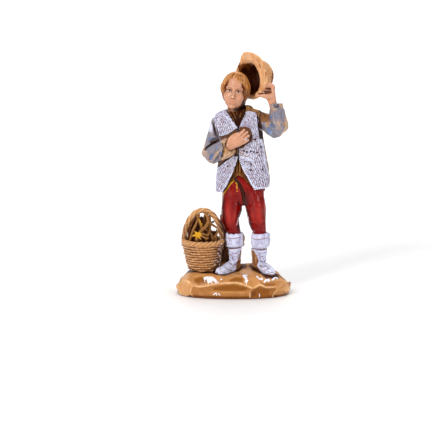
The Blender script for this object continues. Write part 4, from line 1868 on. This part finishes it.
def model_hat():
    skin = cloth_from("hat", 0.22, 7)
    opening = np.array([-0.8, -0.59, -0.08])
    opening /= np.linalg.norm(opening)
    middle = np.array([6.8, 4.0, 96.3])
    away = skin.co - middle
    depth = -(away @ opening)
    aside = np.linalg.norm(away + depth[:, None] * opening, axis=1)
    outward = (skin.normal * opening).sum(1)
    inner = ease(0.0, 0.3, outward + 0.5 * (aside < 6.6) * (depth > 0.5)) * ease(8.6, 6.8, aside)
    outside = ease(0.1, -0.25, outward)
    skin.strokes(HAT_FOLDS)
    flow = np.stack([skin.co[:, 0] + 0.35 * skin.co[:, 2], skin.co[:, 1], skin.co[:, 2]], 1)
    felt = 1 - 2 * np.abs(grain(flow, (0.8, 0.8, 3.0), 71))
    skin.press(0.18 * felt * outside + 0.05 * felt + 0.10 * grain(skin.co, 3.0, 72))
    band = skin.patch(HAT_BAND, 0.6) * (aside < 9)
    skin.mask("pale", 0.4 + 0.5 * grain(flow, (1.2, 1.2, 4.5), 73) + 0.25 * felt)
    skin.mask("lining", np.maximum(inner * ease(0.1, 2.6, depth), band))
    pit = skin.patch(HAT_PIT, 0.9) * (aside < 8)
    skin.mask("pit", np.maximum(0.9 * inner * ease(2.0, 6.0, depth), pit * ease(-0.4, 1.2, depth)))
    tip = skin.patch([(238, 63), (240, 62.5), (239.6, 72), (237.5, 73)], 0.3)
    skin.masks["more"] = 0.9 * tip + 0.5 * skin.touch([(271, 76), (272.6, 80), (270, 84)], 0.7, fade=0.1)
    look = painted(
        "felt_paint", (212, 148, 94), (246, 204, 160), wash=(84, 34, 6),
        rough=0.36, gloss=0.2, shine=0.12,
        coats=[
            ("pale", (242, 194, 148), (216, 158, 106), 0.6, 0.45, 0.36),
            ("lining", (150, 86, 30), (112, 56, 14), 0.5, 0.35, 0.36),
            ("pit", (80, 30, 7), (52, 16, 3), 0.4, 0.5, 0.45),
        ],
        brush=(1, 1, 0.4),
    )
    piece("felt_hat", skin, look, "hat", washed=0.7, depth=0.4)


# Basket and kindling

COURSES = 11  # rows of the weave
STAKES = 8
BORDER_RADIUS = 8.65
HANDLE_RADIUS = 8.5
HANDLE_RISE = 14.0


def basket_radius(share):
    """The basket's outer radius at a share of its height."""
    return 5.6 + 3.4 * min(1.0, max(share, 0.0)) ** 0.5


def hoops(rings, sides, closed=False):
    """The faces between rings of points."""
    faces = []
    for i in range(rings if closed else rings - 1):
        this, above = i * sides, (i + 1) % rings * sides
        for j in range(sides):
            k = (j + 1) % sides
            faces.append([this + j, this + k, above + k, above + j])
    return faces


def ring_shell(rings):
    """A closed shell over rings of points, fanned shut at both ends."""
    sides = len(rings[0])
    points = np.vstack(rings + [rings[0].mean(0)[None], rings[-1].mean(0)[None]])
    faces = hoops(len(rings), sides)
    last = (len(rings) - 1) * sides
    for j in range(sides):
        k = (j + 1) % sides
        faces.append([len(points) - 2, k, j])
        faces.append([len(points) - 1, last + j, last + k])
    return points, faces


def twisted(line, strands, turns, offset, radius, closed=False, sides=8):
    """Strands that wind round a line, as closed shells."""
    line = np.asarray(line)
    shells = []
    ahead = np.gradient(line, axis=0)
    if closed:
        ahead = np.roll(line, -1, 0) - np.roll(line, 1, 0)
    ahead /= np.linalg.norm(ahead, axis=1)[:, None]
    start = np.array([0, 0, 1.0]) if closed else np.array([0, 1.0, 0])
    up = start - ahead * (ahead @ start)[:, None]
    up /= np.linalg.norm(up, axis=1)[:, None]
    side = np.cross(ahead, up)
    n = len(line)
    t = np.arange(n) / (n if closed else n - 1)
    spin = np.arange(sides) / sides * 2 * np.pi
    for k in range(strands):
        angle = 2 * np.pi * (turns * t + k / strands)
        centre = line + offset * (np.cos(angle)[:, None] * side + np.sin(angle)[:, None] * up)
        rings = []
        for i in range(n):
            hoop = np.cos(spin)[:, None] * side[i] + np.sin(spin)[:, None] * up[i]
            rings.append(centre[i] + radius * hoop)
        shells.append((np.vstack(rings), hoops(n, sides, closed)) if closed else ring_shell(rings))
    return shells


def together(shells):
    """Several shells as one."""
    points, faces = [], []
    count = 0
    for p, f in shells:
        points.append(p)
        faces += [[i + count for i in face] for face in f]
        count += len(p)
    return np.vstack(points), faces


def wicker_paint(name):
    return painted(
        name, (190, 132, 78), (238, 194, 144), wash=(92, 46, 12), rough=0.42, gloss=0.12,
        coats=[
            ("straw", (232, 184, 132), (208, 154, 100), 0.8, 0.4, 0.42),
            ("frost", (240, 236, 246), (220, 214, 230), 0.9, 0.12, 0.55),
        ],
        brush=(1, 1, 1),
    )


# Specks of white on the basket, at the right in the picture: [across, down, length, width].
FROST = [
    (220.6, 239.6, 1.4, 0.36), (219.2, 242.2, 0.8, 0.3), (221.2, 244.4, 0.7, 0.4),
    (219.6, 246.6, 1.2, 0.3), (218.4, 249.4, 1.6, 0.4), (220.4, 251.2, 0.5, 0.3),
    (217.6, 253.6, 1.0, 0.34), (219, 256, 0.9, 0.34), (216.6, 257.6, 0.7, 0.3), (215.4, 260.6, 0.8, 0.4),
    (217.6, 261.6, 0.6, 0.26), (214.2, 264.4, 0.6, 0.3), (213.4, 261.6, 0.4, 0.24),
]


def basket_wall(sides=264):
    """The woven wall as a closed shell: outside, over the rim and down inside."""
    angle = np.arange(sides) / sides * 2 * np.pi
    rings = []

    def ring(radius, height, bulge=0.0):
        r = radius + bulge
        x, y = BASKET[0] + r * np.cos(angle), BASKET[1] + r * np.sin(angle)
        rings.append(np.stack([x, y, BASKET[2] + height + 0 * angle], 1))

    ring(0.3, 0.12)
    ring(4.4, 0.12)
    ring(5.5, 0.3)
    for row in range(COURSES):
        weave = 0.15 * np.cos(STAKES * angle + row * np.pi) + 0.1 * np.cos(13 * angle + 2.3 * row)
        weave = weave + 0.06 * np.cos(29 * angle + 1.1 * row)
        sway = 0.1 * np.sin(3 * angle + 1.7 * row) + 0.08 * np.sin(7 * angle + 2.9 * row)
        rise = 0.13 * np.sin(STAKES * angle + row * np.pi)
        wander = 0.12 * np.sin(2 * angle + 0.6 * row)
        wander = wander + 0.1 * np.sin(5 * angle + 2.1 * row) * (0 < row < COURSES - 1)
        for s in np.linspace(-0.92, 0.92, 8):
            share = 0.03 + 0.94 * (row + 0.5 + 0.5 * s) / COURSES
            radius = basket_radius(share) - 0.36 + 0.3 * ease(0.45, 0.9, share)
            swell = math.sqrt(1 - s * s)
            ring(radius, share * BASKET_HEIGHT, (0.66 + weave) * swell + sway * (1 - s * s))
            rings[-1][:, 2] += rise * swell
            rings[-1][:, 2] += wander
    ring(8.5, BASKET_HEIGHT)
    ring(7.9, BASKET_HEIGHT)
    for share in (0.8, 0.5, 0.3):
        ring(basket_radius(share) - 1.1, share * BASKET_HEIGHT)
    ring(5.4, 1.6)
    ring(0.3, 1.5)
    return ring_shell(rings)


def basket_border(steps=168):
    """The middle line of the braid round the rim."""
    turn = np.arange(steps) / steps * 2 * np.pi
    x = BASKET[0] + BORDER_RADIUS * np.cos(turn)
    y = BASKET[1] + BORDER_RADIUS * np.sin(turn)
    return np.stack([x, y, 0 * turn + BASKET[2] + BASKET_HEIGHT], 1)


def model_basket():
    shells = [basket_wall()] + twisted(basket_border(), 3, 8, 0.55, 0.68, closed=True)
    skin = Skin(*remeshed(*together(shells), 0.18)).smooth(2)
    skin.press(0.04 * grain(skin.co, (0.5, 0.5, 0.5), 81) + 0.07 * grain(skin.co, (3.0, 3.0, 0.45), 82))
    x, y, z = (skin.co - BASKET).T
    around = np.arctan2(y, x)
    up = (z - 0.12 * np.sin(2 * around + 3)) / BASKET_HEIGHT
    course = (up - 0.03) / 0.94 * COURSES
    seam = np.abs(course - np.round(course)) * ((course > 0.5) & (course < COURSES - 0.3))
    seam = ease(0.26, 0.08, np.where(seam == 0, 0.5, seam))
    seam = seam * (0.75 + 0.4 * grain(skin.co, (2.0, 2.0, 0.8), 84))
    specks = [([(u, v), (u + reach, v - 0.4)], width) for u, v, reach, width in FROST]
    frost = skin.touches(specks, fade=0, edge=0.8)
    skin.mask("frost", frost * (0.75 + 0.6 * grain(skin.co, 0.6, 85)))
    backs = ease(0.0, 0.14, -skin.hollows())
    skin.mask("straw", backs * (0.55 + 0.6 * grain(skin.co, (2.6, 2.6, 0.7), 87)))
    right = ease(3.5, 8.0, x) * ease(15, 11, z)
    border = ease(12.6, 13.4, z) * ease(7.8, 8.6, np.hypot(x, y))
    skin.masks["more"] = 0.6 * right + 0.75 * seam - 0.45 * border + 0.25 * ease(3.0, 0.5, z)
    look = wicker_paint("wicker_paint")
    piece("wicker_basket", skin, look, "basket_body", washed=1.0, depth=0.2)


def handle_line(count=120):
    """The middle line of the handle, from inside the rim over the arch and down again."""
    angle = np.radians(np.linspace(180, 0, count - 16))
    x = BASKET[0] + HANDLE_RADIUS * np.cos(angle)
    z = BASKET[2] + BASKET_HEIGHT + HANDLE_RISE * np.sin(angle)
    arch = np.stack([x, 0 * angle + BASKET[1], z], 1)
    down = np.linspace(2.4, 0.15, 8)[:, None] * np.array([0, 0, -1.0])
    return np.vstack([arch[0] + down, arch, arch[-1] + down[::-1]])


def model_handle():
    skin = Skin(*remeshed(*together(twisted(handle_line(), 4, 2.7, 0.57, 0.73)), 0.18)).smooth(2)
    skin.press(0.05 * grain(skin.co, 0.6, 83))
    skin.mask("straw", ease(0.0, 0.1, -skin.hollows()) * (0.5 + 0.6 * grain(skin.co, 1.6, 88)))
    x = skin.co[:, 0] - BASKET[0]
    skin.masks["more"] = 0.55 * ease(5.0, 8.5, x) + 0.35 * ease(-5.5, -8.0, x)
    look = wicker_paint("handle_paint")
    piece("wicker_handle", skin, look, "basket_handle", washed=1.1, depth=0.12)


# Sticks: where each shows, [across, down, y], and its thickness in mm.
STICKS = [
    (
        [
            (197.5, 240, -3), (201, 231, -3.4), (205.5, 227, -3.0), (208.3, 221, -2.0),
            (206.3, 214.5, -0.6), (203.5, 212, 0.4),
        ],
        0.72,
    ),
    ([(202.5, 230, -1), (201, 225.5, -1.4), (199, 220, -1), (197, 216, 0)], 0.55),
    ([(206, 240, -1), (209.5, 230, -0.5), (210.2, 223, 0), (209.5, 214, 0.6)], 0.6),
    ([(213, 240, 0), (211, 234, 0.2), (206, 229.5, 0.2)], 0.5),
    ([(209.5, 223, 0), (213.5, 225.5, 0.2), (218, 228.5, 0.6)], 0.5),
    ([(216, 240, 0.4), (215.5, 236, 0.4), (219, 230, 0.8)], 0.55),
    ([(190, 240, -1), (193, 231, -0.8), (196.5, 223, -0.2), (199.5, 215, 0.4)], 0.6),
    ([(188.5, 236, 0), (190.5, 227, 0.4), (195, 218, 0.8), (199, 213.5, 1.0)], 0.5),
    ([(216.5, 222, 1), (213.5, 217, 1), (209, 213, 1)], 0.5),
    ([(196, 226, 0.6), (201, 224, 0.6), (207, 225, 0.6)], 0.5),
]
# The straws in front, which all start in one knot.
KNOT = (197, 235, -5.4)
STRAW = [
    [(193.5, 235.6, -5.6), (190, 237.5, -5.2)], [(196, 232.5, -5.2), (193.8, 231, -4.6)],
    [(199, 232.6, -5.2), (202, 231, -4.6)], [(202, 233.6, -5.6), (206, 235, -5.4), (209.5, 234.4, -5)],
    [(201.5, 235.8, -6.2), (206, 238.5, -6.6), (208.6, 238.4, -6)],
    [(196.6, 238, -7.2), (195.4, 240.5, -8.2)], [(199.6, 237.6, -6.8), (201, 239.6, -7.4)],
]


# The heap behind the sticks: a middle and three half axes. The gaps one can look through: a place that
# shows in the picture, [across, down, y], and half the gap's width and height.
HEAP = (
    ((-13.9, 2.2, 28.5), (6.6, 1.5, 7.0)), ((-13.75, 2.0, 24.5), (7.2, 2.6, 3.0)),
    ((-18.4, 2.0, 27.0), (2.7, 1.4, 5.2)),
)
GAPS = (
    ((198.3, 214.2, 2), 1.1, 1.5), ((202.4, 213.6, 2), 1.0, 1.4), ((212.8, 217.8, 2), 1.35, 1.5),
    ((213.8, 226.8, 2), 1.6, 2.0),
)


def scatter(lump):
    """Short twigs strewn over the heap, inside the basket's wall."""
    dice = np.random.default_rng(5)
    for _ in range(46):
        turn = dice.uniform(0, 2 * np.pi)
        r = 6.4 * math.sqrt(dice.random())
        aside = (BASKET[0] + r * math.cos(turn), BASKET[1] + r * math.sin(turn))
        middle = np.array([*aside, 23.0 - 0.03 * r * r])
        way = dice.uniform(0, np.pi)
        slope = dice.uniform(-0.15, 0.25)
        reach = np.array([math.cos(way), math.sin(way), slope]) * dice.uniform(1.2, 2.6)
        ends = np.array([middle - reach, middle + np.array([0, 0, 0.3]), middle + reach])
        flat = ends[:, :2] - BASKET[:2]
        length = np.linalg.norm(flat, axis=1)
        ends[:, :2] = BASKET[:2] + flat * np.minimum(1, 7.0 / np.maximum(length, 1e-6))[:, None]
        lump.rod(curve(ends, 3), (0.3, 0.42, 0.3), 0.12)


def model_kindling():
    lump = Lump((-23, -8.2, 14), (-4.6, 9.6, 38.2), 0.22)
    lump.egg((BASKET[0], BASKET[1], 18.6), (7.2, 7.2, 4.6), 0)
    for middle, radii in HEAP:
        lump.egg(middle, radii, 0.6)
    for gap, across, down in GAPS:
        lump.egg(from_picture([gap])[0], (across, 3.2, down), 0.3, hollow=True)
    for line, thick in STICKS:
        path = curve(from_picture(line), 3)
        lump.rod(path, (thick, thick * 1.1, thick, thick * 0.8), 0.18)
    for line in STRAW:
        lump.rod(curve(from_picture([KNOT, *line]), 3), (0.62, 0.45, 0.42, 0.25), 0.2)
    lump.egg(from_picture([(197, 235.3, -5.3)])[0], (1.1, 0.9, 1.0), 0.3)
    scatter(lump)
    skin = lump.skin().smooth(1)
    skin.press(0.07 * grain(skin.co, (0.6, 0.6, 0.9), 85))
    back = ease(0.6, 1.8, skin.co[:, 1]) * ease(21, 23, skin.co[:, 2])
    fan = (skin.co[:, 0] - BASKET[0]) * (1 + 0.02 * (skin.co[:, 2] - 24)) + 0.3 * grain(skin.co, 3.0, 86)
    bark = combed(fan, skin.co[:, 2], 1.5, 16.0, 10)
    skin.press(back * (0.9 * (bark - 0.7) + 0.12 * combed(fan, skin.co[:, 2], 0.5, 3.0, 11)))
    sticks = [(to_line(skin.co, curve(from_picture(line), 4))[0], thick) for line, thick in STICKS[:7]]
    pale = skin.most(1 - ease(thick * 1.0, thick * 1.5, distance) for distance, thick in sticks)
    straws = [to_line(skin.co, curve(from_picture([KNOT, *line]), 4))[0] for line in STRAW]
    straw = skin.most(1 - ease(0.5, 0.9, distance) for distance in straws)
    from_knot = np.linalg.norm(skin.co - from_picture([(197, 235.6, -6)])[0], axis=1)
    leaf = skin.touch([(202, 225), (200.4, 219.5)], 0.7, fade=0) * (skin.co[:, 1] < 0.5)
    knot = np.maximum(1 - ease(1.3, 2.2, from_knot), leaf)
    skin.mask("pale", 0.05 + 0.85 * pale + straw + 0.5 * back * ease(0.5, 0.9, bark))
    skin.mask("yellow", knot * 1.1 + 0.3 * straw * (skin.co[:, 0] < -14))
    look = painted(
        "kindling_paint", (80, 40, 15), (126, 76, 38), wash=(46, 14, 3),
        rough=0.45, gloss=0.05, shine=0.1,
        coats=[
            ("pale", (178, 126, 70), (122, 76, 34), 0.6, 0.3, 0.42),
            ("yellow", (232, 176, 40), (196, 130, 24), 0.5, 0.2, 0.4),
        ],
        brush=(1, 1, 1),
    )
    piece("kindling_sticks", skin, look, "kindling", washed=1.0, depth=0.25)


place_camera()
lay_floor()
light_studio()
closed_in = Closeness()
model_ground()
model_boot("boot_right")
model_boot("boot_left")
model_breeches()
model_shirt()
model_waistcoat()
model_sleeve("sleeve_right")
model_sleeve("sleeve_left")
model_head()
model_hair()
model_left_hand(model_right_hand())
model_hat()
model_basket()
model_handle()
model_kindling()
